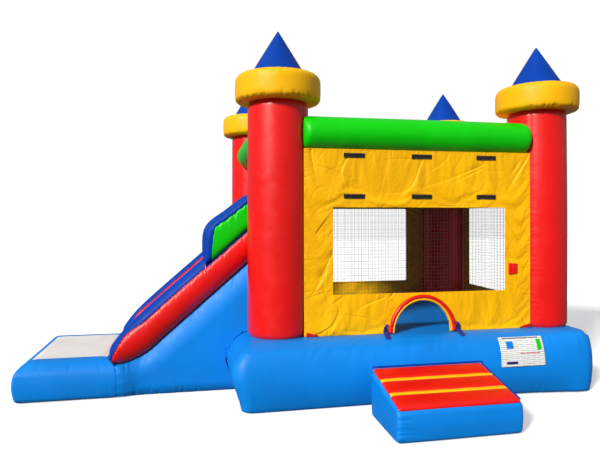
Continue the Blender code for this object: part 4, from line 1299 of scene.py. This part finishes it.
def make_slide_body():
    """The chamber under the slide: upright sections whose sides lean in under the walls.
    It follows the landing's edge at its toe and the base's edge at its other end."""
    low, high = corners("slide_body")
    step = BASE_LOW[0] - 0.010
    toe = low[0] - 0.055
    landing_wider = 0.058  # how far the landing's side stands outside the body's
    xs = np.concatenate((lines_between((toe, step), 0.008), lines_between((step + 0.002, high[0]), 0.008)))
    top = slide_line(xs) - 0.003
    insets = [inset for height, inset in BASE_EDGE if height > 0.34]
    shoulder = [height for height, inset in BASE_EDGE if height > 0.34]
    floor = np.where(xs > step, np.interp(xs - BASE_LOW[0], insets, shoulder) + 0.012, 0.001)
    tall = top - 0.001
    share = np.linspace(0, 1, 60)[None]
    height = 0.001 + tall[:, None] * share
    under = tall[:, None] * (1 - share)
    over = tall[:, None] * share
    lean = np.minimum(0.30, 0.5 * tall)[:, None]
    inset = 0.075 * np.clip(1 - under / lean, 0, 1) ** 2 + 0.05 * np.clip(1 - over / 0.12, 0, 1) ** 2
    x = np.broadcast_to(xs[:, None], height.shape)
    sides = []
    for sign, edge in ((1, low[1]), (-1, high[1])):
        depth = folds(1.3 * x, under, 3.0, 62, 0.075, 0.008, 0.17, 0.011, 0.4)
        depth += folds(x, over, 3.0, 63, 0.10, 0.010, 0.16, 0.013, 0.6)
        gathered = fading(x - low[0], 0.10) * (height < 0.40)
        depth += gathered * folds(x, height, 3.0, 64, 0.022, 0.007, 0.30, 0.008, 0.15)
        near_toe = fading(x - low[0], 0.16) if sign > 0 else 0.0
        at_landing = inset_at(LANDING_EDGE, height) - landing_wider
        y = edge + sign * (inset * (1 - near_toe) + near_toe * at_landing + depth)
        side = stacked(x, y, np.maximum(height, floor[:, None]))
        side[..., 1] += sign * 0.004 * ripple(side, 3.0, 65)
        sides.append(side)
    near, far = sides
    across = np.linspace(0, 1, 12)[None, 1:-1, None]
    lid = near[:, -1:] + (far[:, -1:] - near[:, -1:]) * across
    sole = far[:, :1] + (near[:, :1] - far[:, :1]) * across
    grid = np.concatenate((near, lid, far[:, ::-1], sole), axis=1)
    levels = (0, 0.076, 0.209, 0.342, 0.45, 0.487)
    under_edge = np.interp(grid[..., 2], levels, (0.130, 0.105, 0.057, 0.009, 0.014, 0))
    nearer = np.clip((grid[..., 0] - step + 0.30) / 0.30, 0, 1) * (grid[..., 0] < step + 0.0005)
    grid[..., 0] += nearer * under_edge
    grid[..., 1] = np.clip(grid[..., 1], low[1] - 0.055, high[1] + 0.006)
    piece(surface("slide_body_skin", clear_of_tower(grid, "front_left")), "blue", ["slide_body"])


def make_lane():
    """The bed between the walls: three lengthwise rolls that ease out at the toe."""
    low, high = corners("slide_lane")
    rise = 0.22
    xs = np.linspace(high[0], low[0], 110)
    across = np.linspace(0, 1, 61)
    rolls = 0.020 * np.abs(np.sin(3 * math.pi * across)) ** 0.7 - 0.014
    top = np.empty((len(xs), len(across), 3))
    bottom = np.empty_like(top)
    floors = slide_line(xs)
    for row, x in enumerate(xs):
        height = on_slope(min(x, CREST_X), rise)[1]
        easing = np.clip((x - low[0]) / 0.30, 0, 1)
        floor = max(floors[row] + 0.004, NOSE_Z + 0.006)
        surfaces = ((top, height + rolls * (0.3 + 0.7 * easing)), (bottom, floor))
        for grid, level in surfaces:
            grid[row, :, 0] = x
            grid[row, :, 1] = low[1] + (high[1] - low[1]) * across
            grid[row, :, 2] = level
    top[..., 2] = np.maximum(top[..., 2], bottom[..., 2] + 0.01)
    top[..., 2] += 0.0025 * ripple(top, 7.0, 71)
    along = travelled(top, 0)
    for edge in (0, -1):
        away = np.abs(top[..., 1] - top[0, edge, 1])
        top[..., 2] -= folds(along, away, 2.5, 72, 0.05, 0.006, 0.12)
    grid = np.concatenate((top, bottom[:, ::-1]), axis=1)
    piece(surface("slide_bed", grid), "red", ["slide_lane"])


def make_landing():
    """The landing, gathered where it meets the slide's body."""
    low, high = corners("landing_cushion")
    top = high[2]
    edge = [(0.0, 0.45), *LANDING_EDGE, (top - 0.001, 0.20), (top, 0.26), (top, 0.5)]
    grid, path = cushion_grid(low, high, 0.03, edge, 420, 44)
    along, round_it = round_rows(grid)
    round_it += 0.012
    walked = travelled(grid, 0)
    depth = 0.003 * ripple(grid, 3.0, 80)
    for number, height in enumerate((0.06, 0.37)):
        row = np.abs(path[:, 0] - height).argmin()
        away = from_row(walked, row)
        depth -= folds(along, away, round_it, 81 + number, 0.07, 0.006, 0.13, 0.008, 0.3)
    toe = fading(grid[..., 0] - high[0], 0.16)
    upright = folds(along, np.abs(grid[..., 2] - 0.03), round_it, 84, 0.020, 0.008, 0.30, 0.006, 0.15)
    grid = swell(grid, (depth - toe * upright) * np.clip(grid[..., 2] / 0.02, 0, 1))
    grid[..., 2] = np.clip(grid[..., 2], 0.0, top + 0.0005)
    piece(surface("landing_skin", grid), "blue", ["landing_cushion"])


def make_mat():
    """The white mat, laid over the landing's rounded top."""
    low, high = corners("landing_mat")
    xs = np.linspace(low[0], high[0], 74)
    ys = np.linspace(low[1], high[1], 112)
    x, y = np.meshgrid(xs, ys)
    under_low, under_high = corners("landing_cushion")
    inset = inside_edge(x, y, under_low, under_high)
    drop = np.interp(inset, (0.035, 0.080, 0.130, 0.20, 0.26), (0.085, 0.037, 0.010, 0.001, 0.0))
    grid = stacked(x, y, low[2] + 0.003 - drop)
    mat = surface("landing_mat_sheet", grid, wrap=False, caps=False)
    spots = points_of(mat.data)
    edge = inside_edge(spots[:, 0], spots[:, 1], low, high)
    hold = (edge < 0.004).astype(float)
    settle(mat, hold, 0.030, np.array((0.0, 0.0, 1.0)), 0.016, gravity=0.1, seed=9)
    for vertex, spot in zip(mat.data.vertices, spots):
        vertex.co.z = max(vertex.co.z, spot[2] - 0.001)
    piece(thicken(mat, 0.002), "white", ["landing_mat"])


def make_climb():
    """The stepped block that leads up to the slide's doorway."""
    low, high = corners("climb_platform")
    crest = 0.025
    steps = []
    for share in np.linspace(0.02, 0.98, 9):
        y = high[1] + (crest - high[1]) * share
        z = low[2] + 0.08 + (high[2] - low[2] - 0.08) * share
        lift = 0.0 if len(steps) % 2 == 0 else -0.035
        steps.append((y + 0.7 * lift, z + 0.6 * lift))
    outline = [(low[1], low[2]), (high[1], low[2]), *steps, (crest - 0.05, high[2]), (low[1], high[2])]
    loop = rounded_loop(outline, 0.05, 220)
    grid, seam = bolster_grid(loop, 0, (low[0] + 0.008, high[0] - 0.008), 0.035, 0.04, 0.006, rows=24)
    depth = 0.002 * ripple(grid, 5.0, 91)
    depth -= crease_ends(grid, seam, 4.8, 92, spacing=0.06, depth=0.006, reach=0.12)
    piece(surface("climb_skin", swell(grid, depth - 0.004)), "blue", ["climb_platform"])


# Ramp ------------------------------------------------------------------------------


def make_ramp():
    """The entry ramp: a wedge, its striped deck, dark blue piping along its rear and right edges that
    paints the shade of the gap to the base, and its sleeve to the base.
    """
    low, high = corners("ramp_body")
    front, rear = low[1], high[1]
    front_top, rear_top = 0.315, 0.475
    rise = (rear_top - front_top) / (rear - front)

    def top_at(y):
        return front_top + (y - front) * rise

    outline = [
        (front + 0.02, 0.002),
        (rear - 0.02, 0.002),
        (rear, 0.10),
        (rear, top_at(rear) - 0.030),
        (front + 0.015, top_at(front) - 0.026),
        (front, 0.15),
    ]
    loop = rounded_loop(outline, 0.045, 240)
    grid, seam = bolster_grid(loop, 0, (low[0], high[0]), 0.030, 0.045, 0.004, rows=60)
    depth = 0.003 * ripple(grid, 5.0, 51)
    depth -= crease_ends(grid, seam, 2.2, 52, spacing=0.045, depth=0.006, reach=0.10)
    left_foot = np.exp(-(((grid[..., 0] - low[0]) / 0.12) ** 2 + ((grid[..., 1] - front) / 0.14) ** 2))
    pleats = folds(grid[..., 2], np.abs(grid[..., 1] - front), 1.0, 54, 0.030, 0.012, 0.14, 0.008)
    grid = swell(grid, depth - left_foot * pleats)
    grid[..., 2] = np.maximum(grid[..., 2], 0.0)
    piece(surface("ramp_skin", grid), "blue", ["ramp_body", "ramp_sleeve"])
    deck_low, deck_high = corners("ramp_deck")
    stripe = 0.042
    start, end = deck_low[1] - 0.030, deck_high[1] + 0.004
    wide = (end - start - 2 * stripe) / 3
    for number in range(3):
        near = start + number * (wide + stripe)
        make_pillow(number, near, near + wide, top_at, deck_low[0] - 0.020, deck_high[0] + 0.020)
        if number < 2:
            make_stripe(number, near + wide, near + wide + stripe, top_at, deck_low[0], deck_high[0])
    # Dark blue piping only along the rear and right edges, which lie in shade: painted shade of the gap
    # between ramp and base.
    lift = 0.004
    right = deck_high[0] + 0.030
    rear_line = [(x, rear - 0.004, top_at(rear) + lift) for x in np.linspace(deck_low[0] - 0.02, right, 20)]
    side_line = [(right - 0.006, y, top_at(y) - 0.014) for y in np.linspace(rear, front + 0.06, 20)]
    piping = tube("ramp_shade_piping", rear_line + side_line[1:], 0.010, around=10)
    piece(piping, "royal")
    sleeve_low, sleeve_high = corners("ramp_sleeve")
    centre = (sleeve_low + sleeve_high) / 2
    start = (centre[0], rear - 0.02, centre[2])
    end = (centre[0], sleeve_high[1] + 0.012, centre[2])
    line = np.linspace(start, end, 30)
    radius = 0.064 + 0.004 * np.sin(np.linspace(0, 17, 30))
    piece(tube("ramp_sleeve_skin", line, radius, around=40), "blue")


def make_pillow(number, near, far, top_at, left, right):
    """One padded band of the ramp's deck, gathered a little at its two ends."""
    turn = full_turn(56)
    xs = left + (right - left) * (1 - np.cos(np.linspace(0, math.pi, 90))) / 2
    middle_y, half = (near + far) / 2, (far - near) / 2 + 0.003
    grid = np.empty((len(xs), len(turn), 3))
    inside = np.clip(np.minimum(xs - left, right - xs) / 0.05, 0, 1)
    full = np.sqrt(np.maximum(1 - (1 - inside) ** 2, 0.002))
    across = np.sign(np.cos(turn)) * np.abs(np.cos(turn)) ** 0.55
    upward = np.sign(np.sin(turn)) * np.abs(np.sin(turn)) ** 0.80
    grid[..., 0] = xs[:, None]
    grid[..., 1] = middle_y + half * across * (0.90 + 0.10 * full[:, None])
    tilt = top_at(grid[..., 1]) - top_at(middle_y)
    grid[..., 2] = top_at(middle_y) - 0.022 + tilt + 0.028 * upward * full[:, None]
    depth = 0.0012 * ripple(grid, 8.0, 55 + number)
    for edge, seed in ((left, 1), (right, 2)):
        away = np.abs(grid[..., 0] - edge)
        depth -= folds(grid[..., 1], away, 1.0, 56 + 3 * number + seed, 0.030, 0.006, 0.07, 0.007)
    for edge, seed in ((near, 1), (far, 2)):
        away = np.abs(grid[..., 1] - edge)
        depth -= folds(grid[..., 0], away, 2.0, 65 + 3 * number + seed, 0.05, 0.003, 0.05, 0.007)
    grid = swell(grid, depth)
    nodes = ["ramp_deck"] if number == 0 else []
    piece(surface(f"ramp_pillow_{number}", grid), "red", nodes)


def make_stripe(number, near, far, top_at, left, right):
    """A flat band that dips between two of the deck's pillows."""
    xs = np.linspace(left - 0.018, right + 0.018, 90)
    ys = np.linspace(near - 0.004, far + 0.004, 9)
    x, y = np.meshgrid(xs, ys, indexing="ij")
    dip = 0.006 * np.cos((y - (near + far) / 2) / (far - near) * math.pi)
    ends = 0.012 * np.clip(1 - np.minimum(x - xs[0], xs[-1] - x) / 0.03, 0, 1) ** 2
    z = top_at(y) - 0.006 + dip - ends + 0.0012 * np.sin(x * 23 + number)
    piece(shell(f"ramp_stripe_{number}", stacked(x, y, z)), "yellow")


# Doorway ---------------------------------------------------------------------------


def arch_line(half, rise, foot, y):
    """Half an ellipse over the doorway, foot to foot."""
    count = 90
    turn = np.linspace(math.pi, 0, count)
    x = CENTRE_X + half * np.cos(turn)
    z = foot + rise * np.sin(turn)
    return spaced(np.stack((x, np.full(count, y), z), axis=1), count)


def make_arch():
    """The doorway's padded roll, with a thinner one inside it."""
    low, high = corners("arch_trim")
    y = (low[1] + high[1]) / 2
    outer = (high[0] - low[0]) / 2
    rise = high[2] - low[2]
    red = arch_line(outer - 0.026, rise - 0.026, low[2] + 0.004, y + 0.008)
    share = np.linspace(0, 1, len(red))
    radius = 0.023 + 0.0012 * np.sin(share * 70) * np.sin(share * 17)
    piece(tube("arch_tube", red, radius, around=20, squeeze=0.9), "red", ["arch_trim"])
    yellow = arch_line(outer - 0.057, rise - 0.057, low[2] + 0.002, y + 0.004)
    piece(tube("arch_piping", yellow, 0.0115 + 0.0006 * np.sin(share * 50), around=14), "yellow")


def make_strips():
    """Hook tape: a stitched strip whose edges lift a little."""
    for node in sorted(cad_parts):
        if not node.startswith("hook_strip"):
            continue
        low, high = corners(node)
        face = low[1] + 0.0008
        xs, zs = np.linspace(low[0], high[0], 40), np.linspace(low[2], high[2], 10)
        x, z = np.meshgrid(xs, zs)
        wave = 0.0012 * np.sin((x - low[0]) * 31 + low[0] * 9) + 0.0006 * np.sin(x * 83)
        grid = stacked(x, face - np.abs(wave), z)
        piece(shell(f"{node}_tape", grid, 0.0022), "tape", [node])
        stitches(f"{node}_thread", grid, low, high)


def stitches(name, grid, low, high):
    """Rows of short threads just inside a strip's two long edges."""
    verts, faces = [], []
    for height in (low[2] + 0.005, high[2] - 0.005):
        for x in np.arange(low[0] + 0.006, high[0] - 0.008, 0.006):
            y = grid[..., 1].min() - 0.0013
            first = len(verts)
            for dx, dz, dy in ((0, -0.0004, 0), (0.0035, -0.0004, 0), (0.0035, 0.0004, 0),
                               (0, 0.0004, 0), (0.0017, 0, -0.0006)):
                verts.append((x + dx, y + dy + 0.0004, height + dz))
            faces += [(first + a, first + b, first + 4) for a, b in ((0, 1), (1, 2), (2, 3), (3, 0))]
            faces.append((first + 3, first + 2, first + 1, first))
    piece(mesh_object(name, verts, faces), "thread")


def make_pull_tab():
    """A folded red pocket of vinyl, in three leaves."""
    low, high = corners("pull_tab")
    front = low[1]
    leaves = ((0.0, 0.42, 0.0), (0.36, 0.72, 0.003), (0.68, 1.0, 0.001))
    for number, (left, right, out) in enumerate(leaves):
        wide = high[0] - low[0]
        xs = low[0] + wide * np.linspace(left, right, 12)
        zs = np.linspace(low[2] + 0.004 * number, high[2] - 0.003 * number, 24)
        x, z = np.meshgrid(xs, zs)
        share = (x - xs[0]) / (xs[-1] - xs[0])
        curl = 0.006 * np.sin(math.pi * share) + 0.0012 * np.sin(z * 60 + number)
        grid = stacked(x, front + 0.007 - out - curl, z)
        nodes = ["pull_tab"] if number == 0 else []
        piece(shell(f"pull_tab_fold_{number}", grid, 0.0016), "red", nodes)


def ribbon(name, line, wide, thick, body=HOUSE):
    """A flat webbing tape along a line of points, its width along x."""
    side = np.array((1.0, 0.0, 0.0)) * wide / 2
    grid = line[:, None] + side * np.linspace(-1, 1, 7)[None, :, None]
    piece(shell(name, grid, thick), "webbing", body=body)


def make_buckles():
    """Side-release buckles between the arch's feet and the base, on navy webbing."""
    for side in ("left", "right"):
        socket_low, socket_high = corners(f"buckle_socket_{side}")
        plug_low, plug_high = corners(f"buckle_plug_{side}")
        centre = (socket_low + socket_high) / 2
        trim = (0.001, 0.0005, 0)
        socket = block(f"buckle_body_{side}", socket_low + trim, socket_high - trim, 0.004)
        cut = block("cut", (socket_low[0] + 0.009, socket_low[1] + 0.004, socket_low[2] + 0.012),
                    (socket_high[0] - 0.009, socket_high[1] - 0.004, socket_high[2] + 0.02), 0.002)
        carve = socket.modifiers.new("cavity", "BOOLEAN")
        carve.object = cut
        carve.operation = "DIFFERENCE"
        apply_modifiers(socket)
        bpy.data.objects.remove(cut)
        piece(socket, "navy", [f"buckle_socket_{side}"])
        body = f"plug_{side}"
        top = plug_high[2]
        low = (plug_low[0] + 0.004, plug_low[1] + 0.001, top - 0.021)
        high = (plug_high[0] - 0.004, plug_high[1] - 0.001, top)
        piece(block(f"buckle_head_{side}", low, high, 0.003), "navy", [f"buckle_plug_{side}"], body)
        for number, x in enumerate((centre[0] - 0.010, centre[0], centre[0] + 0.010)):
            low = (x - 0.0022, centre[1] - 0.0022, socket_low[2] + 0.016)
            high = (x + 0.0022, centre[1] + 0.0022, top - 0.018)
            piece(block(f"buckle_prong_{side}_{number}", low, high, 0.001), "navy", body=body)
        sign = -1 if side == "left" else 1
        upper = curve_through(
            (
                (centre[0], centre[1] - 0.001, top - 0.004),
                (centre[0] - sign * 0.006, centre[1] - 0.006, top + 0.012),
                (centre[0] - sign * 0.020, centre[1] - 0.004, top + 0.032),
            ),
            16,
        )
        ribbon(f"buckle_strap_{side}", upper, 0.034, 0.0018, body)
        edge = BASE_LOW[1]
        lower = curve_through(
            (
                (centre[0], centre[1] - 0.011, socket_low[2] + 0.012),
                (centre[0], centre[1] - 0.022, BASE_TOP + 0.010),
                (centre[0] - 0.012, edge + 0.30, BASE_TOP + 0.007),
                (centre[0] - 0.022, edge + 0.25, BASE_TOP + 0.001),
                (centre[0] - 0.032, edge + 0.20, BASE_TOP - 0.011),
            ),
            30,
        )
        ribbon(f"buckle_webbing_{side}", lower, 0.060, 0.0030)


def make_label():
    """The information label on the base's front, with blocks of colour and no lettering."""
    low, high = corners("info_label")
    heights = np.linspace(low[2] + 0.002, high[2] - 0.001, 44)
    inset = inset_at(BASE_EDGE, heights)
    smooth = np.convolve(np.pad(inset, 3, mode="edge"), np.ones(7) / 7, mode="valid")
    xs = np.linspace(low[0], high[0], 70)
    x, z = np.meshgrid(xs, heights)
    y = BASE_LOW[1] + 0.5 * smooth[:, None] - 0.012 + 0.0022 * np.sin(x * 17) * np.sin(z * 21)
    grid = stacked(x, y, z)
    piece(shell("label_panel", grid, 0.0016), "label", ["info_label"])
    blocks = (
        ("teal", "blue", 10, 22, 27, 38),
        ("green", "green", 58, 66, 24, 40),
        ("grey", "navy", 8, 26, 4, 9),
        ("band", "black", 6, 64, 41, 43),
        ("low", "red", 30, 62, 19, 21),
    )
    for name, paint, left, right, lowest, highest in blocks:
        patch = grid[lowest:highest, left:right] - (0.0, 0.0022, 0.0)
        piece(shell(f"label_block_{name}", patch, 0.0010), paint)


# Roof and floor --------------------------------------------------------------------


def make_roof():
    """The roof panel, hung between the four beams."""
    low, high = corners("roof_panel")
    xs = np.linspace(low[0], high[0], 90)
    ys = np.linspace(low[1], high[1], 74)
    x, y = np.meshgrid(xs, ys)
    grid = stacked(x, y, np.full(x.shape, (low[2] + high[2]) / 2))
    roof = surface("roof_sheet", grid, wrap=False, caps=False)
    spots = points_of(roof.data)
    edge = inside_edge(spots[:, 0], spots[:, 1], low, high)
    settle(roof, (edge < 0.01).astype(float), 0.012, np.array((0.0, 0.0, 1.0)), 0.06, seed=11)
    piece(thicken(roof, 0.002), "yellow", ["roof_panel"])


def make_floor_cushion():
    """The bounce floor between the walls: shallow channels that run front to back."""
    xs = np.linspace(LEFT_X + 0.02, RIGHT_X - 0.02, 300)
    ys = np.linspace(FRONT_Y + 0.02, BACK_Y - 0.02, 120)
    x, y = np.meshgrid(xs, ys)
    share = (x - xs[0]) / (xs[-1] - xs[0])
    roll = np.abs(np.sin(share * 9 * math.pi)) ** 0.6
    border = np.clip(np.minimum(y - ys[0], ys[-1] - y) / 0.10, 0, 1) ** 0.5
    z = BASE_TOP - 0.012 + 0.012 * roll * border
    z += 0.0015 * ripple(stacked(x, y, z), 5.0, 33)
    piece(shell("bounce_floor", stacked(x, y, np.minimum(z, BASE_TOP + 0.001)), 0.004), "blue")


# Rear and lower fittings -------------------------------------------------------------


def repaint(node, paint):
    """A better finish on a CAD node that stays as it is."""
    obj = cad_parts[node]
    for slot in obj.material_slots:
        slot.material = PAINT[paint]


def make_corner_tabs():
    """Red anchor tabs where the front wall's lower corners meet the towers."""
    low, high = corners("wall_front")
    ends = (("left", low[0] + 0.15, low[0] + 0.02), ("right", high[0] - 0.15, high[0] - 0.02))
    for name, inner, outer in ends:
        share = np.linspace(0, 1, 14)
        x, rise = np.meshgrid(inner + (outer - inner) * share, np.linspace(0, 1, 8))
        grow = 0.016 + 0.034 * (x - inner) / (outer - inner)
        y = low[1] - 0.012 - 0.006 * np.sin(9 * share)[None] * rise - 0.010 * rise
        grid = stacked(x, y, BASE_TOP + 0.004 + grow * rise)
        piece(shell(f"corner_tab_{name}", grid, 0.002), "red")


def make_sleeve():
    """The blower's sleeve: slack cloth with rings of wrinkles, strapped at the outlet."""
    low, high = corners("inflation_sleeve")
    centre = (low + high) / 2
    strap_share = 0.9
    ys = np.linspace(low[1] + 0.002, high[1] - 0.004, 120)
    turn = full_turn(72)
    share = (ys - ys[0]) / (ys[-1] - ys[0])
    radius = 0.108 - 0.010 * np.sin(math.pi * share) - pinch(share - strap_share, 0.012, 0.03)
    grid = np.empty((len(ys), len(turn), 3))
    grid[..., 0] = centre[0] + radius[:, None] * np.cos(turn)
    grid[..., 1] = ys[:, None]
    grid[..., 2] = centre[2] + radius[:, None] * np.sin(turn)
    ring = turn[None] * 0.11 + np.zeros_like(grid[..., 0])
    depth = 0.004 * ripple(grid, 16.0, 601)
    depth -= folds(ring, np.abs(grid[..., 1] - ys[-1]), 0.69, 602, 0.03, 0.009, 0.22, 0.007)
    depth -= folds(ring, np.abs(grid[..., 1] - ys[0]), 0.69, 603, 0.04, 0.007, 0.16, 0.008)
    grid = swell(grid, depth)
    grid[..., 2] = np.maximum(grid[..., 2], 0.003)
    piece(surface("sleeve_skin", grid), "blue", ["inflation_sleeve"])
    y = ys[0] + strap_share * (ys[-1] - ys[0])
    line = [(centre[0] + 0.103 * math.cos(t), y, centre[2] + 0.103 * math.sin(t)) for t in turn]
    across = np.array((0.0, 1.0, 0.0)) * np.linspace(-0.016, 0.016, 5)[None, :, None]
    grid = np.array(line)[:, None] + across
    strap = surface("sleeve_strap", grid.transpose(1, 0, 2), caps=False)
    piece(thicken(strap, 0.003), "webbing")


def make_zip():
    """A deflation zip under a stitched tape on the base's rear."""
    low, high = corners("zip_tape")
    x, z = np.meshgrid(np.linspace(low[0], high[0], 60), np.linspace(low[2], high[2], 10))
    y = high[1] - 0.0016 + 0.0003 * np.sin(x * 41)
    piece(shell("zip_tape_cloth", stacked(x, y, z), 0.002), "tape", ["zip_tape"])
    verts, faces = [], []
    for k, along in enumerate(np.arange(low[0] + 0.044, high[0] - 0.006, 0.0075)):
        height = (low[2] + high[2]) / 2 + (0.0022 if k % 2 else -0.0022)
        first = len(verts)
        for dx in (0, 0.0045):
            for dy, dz in ((0, -0.003), (0, 0.003), (0.0013, 0.002), (0.0013, -0.002)):
                verts.append((along + dx, high[1] - 0.0010 + dy, height + dz))
        for a, b in ((0, 1), (1, 2), (2, 3), (3, 0)):
            faces.append((first + a, first + b, first + 4 + b, first + 4 + a))
        faces += [(first + 3, first + 2, first + 1, first), (first + 4, first + 5, first + 6, first + 7)]
    piece(mesh_object("zip_teeth", verts, faces), "black")


def make_rings():
    """Webbing patches that sew the anchor rings to the base's rear."""
    for side in ("left", "right"):
        low, high = corners(f"anchor_ring_{side}")
        centre = (low + high) / 2
        for number, (rise, tall) in enumerate(((0.0, 0.045), (0.030, 0.030))):
            xs = np.linspace(centre[0] - 0.045, centre[0] + 0.045, 24)
            x, z = np.meshgrid(xs, np.linspace(0, tall, 10))
            z = z + high[2] + 0.002 + rise
            y = BASE_HIGH[1] + 0.0025 + 0.0015 * number + 0.0008 * np.sin(x * 70)
            patch = shell(f"ring_patch_{side}_{number}", stacked(x, y, z), 0.0016)
            piece(patch, "webbing" if number else "blue")


def make_blower():
    """Finishes of the blower, a handle on its casing and cooling fins on its motor."""
    repaint("blower_casing", "blower")
    repaint("blower_motor", "zinc")
    for node in ("blower_fan", "blower_grille", "blower_switch"):
        repaint(node, "black")
    low, high = corners("blower_casing")
    centre = (low + high) / 2
    top = high[2] - 0.030
    arc = curve_through(
        (
            (centre[0], centre[1] - 0.09, top - 0.035),
            (centre[0], centre[1] - 0.07, top + 0.018),
            (centre[0], centre[1] + 0.00, top + 0.034),
            (centre[0], centre[1] + 0.07, top + 0.020),
            (centre[0], centre[1] + 0.10, top - 0.030),
        ),
        40,
    )
    arc[:, 2] = np.minimum(arc[:, 2], high[2] + 0.030)
    piece(tube("blower_handle", arc, 0.010, around=14, squeeze=0.8), "black")
    low, high = corners("blower_motor")
    centre = (low + high) / 2
    radius = (high[2] - low[2]) / 2
    turn = full_turn(60)
    for number, x in enumerate(np.linspace(low[0] + 0.018, low[0] + 0.075, 5)):
        ring = [(x, centre[1] + radius * math.cos(t), centre[2] + radius * math.sin(t)) for t in turn]
        piece(tube(f"motor_fin_{number}", ring, 0.0035, around=8, closed=True), "zinc")


def main():
    make_camera()
    make_lights()
    make_floor()
    for number, corner in enumerate(TOWERS):
        make_tower(corner, 100 + 10 * number)
        make_collar(corner, 200 + 10 * number)
        make_cone(corner, 300 + 10 * number)
    make_beam("front", "X", 400)
    make_beam("back", "X", 410)
    make_beam("left", "Y", 420)
    make_beam("right", "Y", 430)
    make_base()
    make_walls()
    make_net("front_net", "net_front", "X", 0.039, 1)
    make_net("back_net", "net_back", "X", 0.039, 2)
    make_net("right_net", "net_right", "Y", 0.039, 3)
    make_slide_body()
    for number, side in enumerate(("near", "far")):
        make_slide_wall(side, 500 + 10 * number)
        make_guard(side, 520 + 10 * number)
    make_lane()
    make_landing()
    make_mat()
    make_climb()
    make_ramp()
    make_arch()
    make_strips()
    make_pull_tab()
    make_buckles()
    make_label()
    make_roof()
    make_floor_cushion()
    make_corner_tabs()
    make_sleeve()
    make_zip()
    make_rings()
    make_blower()
    for node in ("zip_slider", "anchor_ring_left", "anchor_ring_right"):
        repaint(node, "zinc")


main()
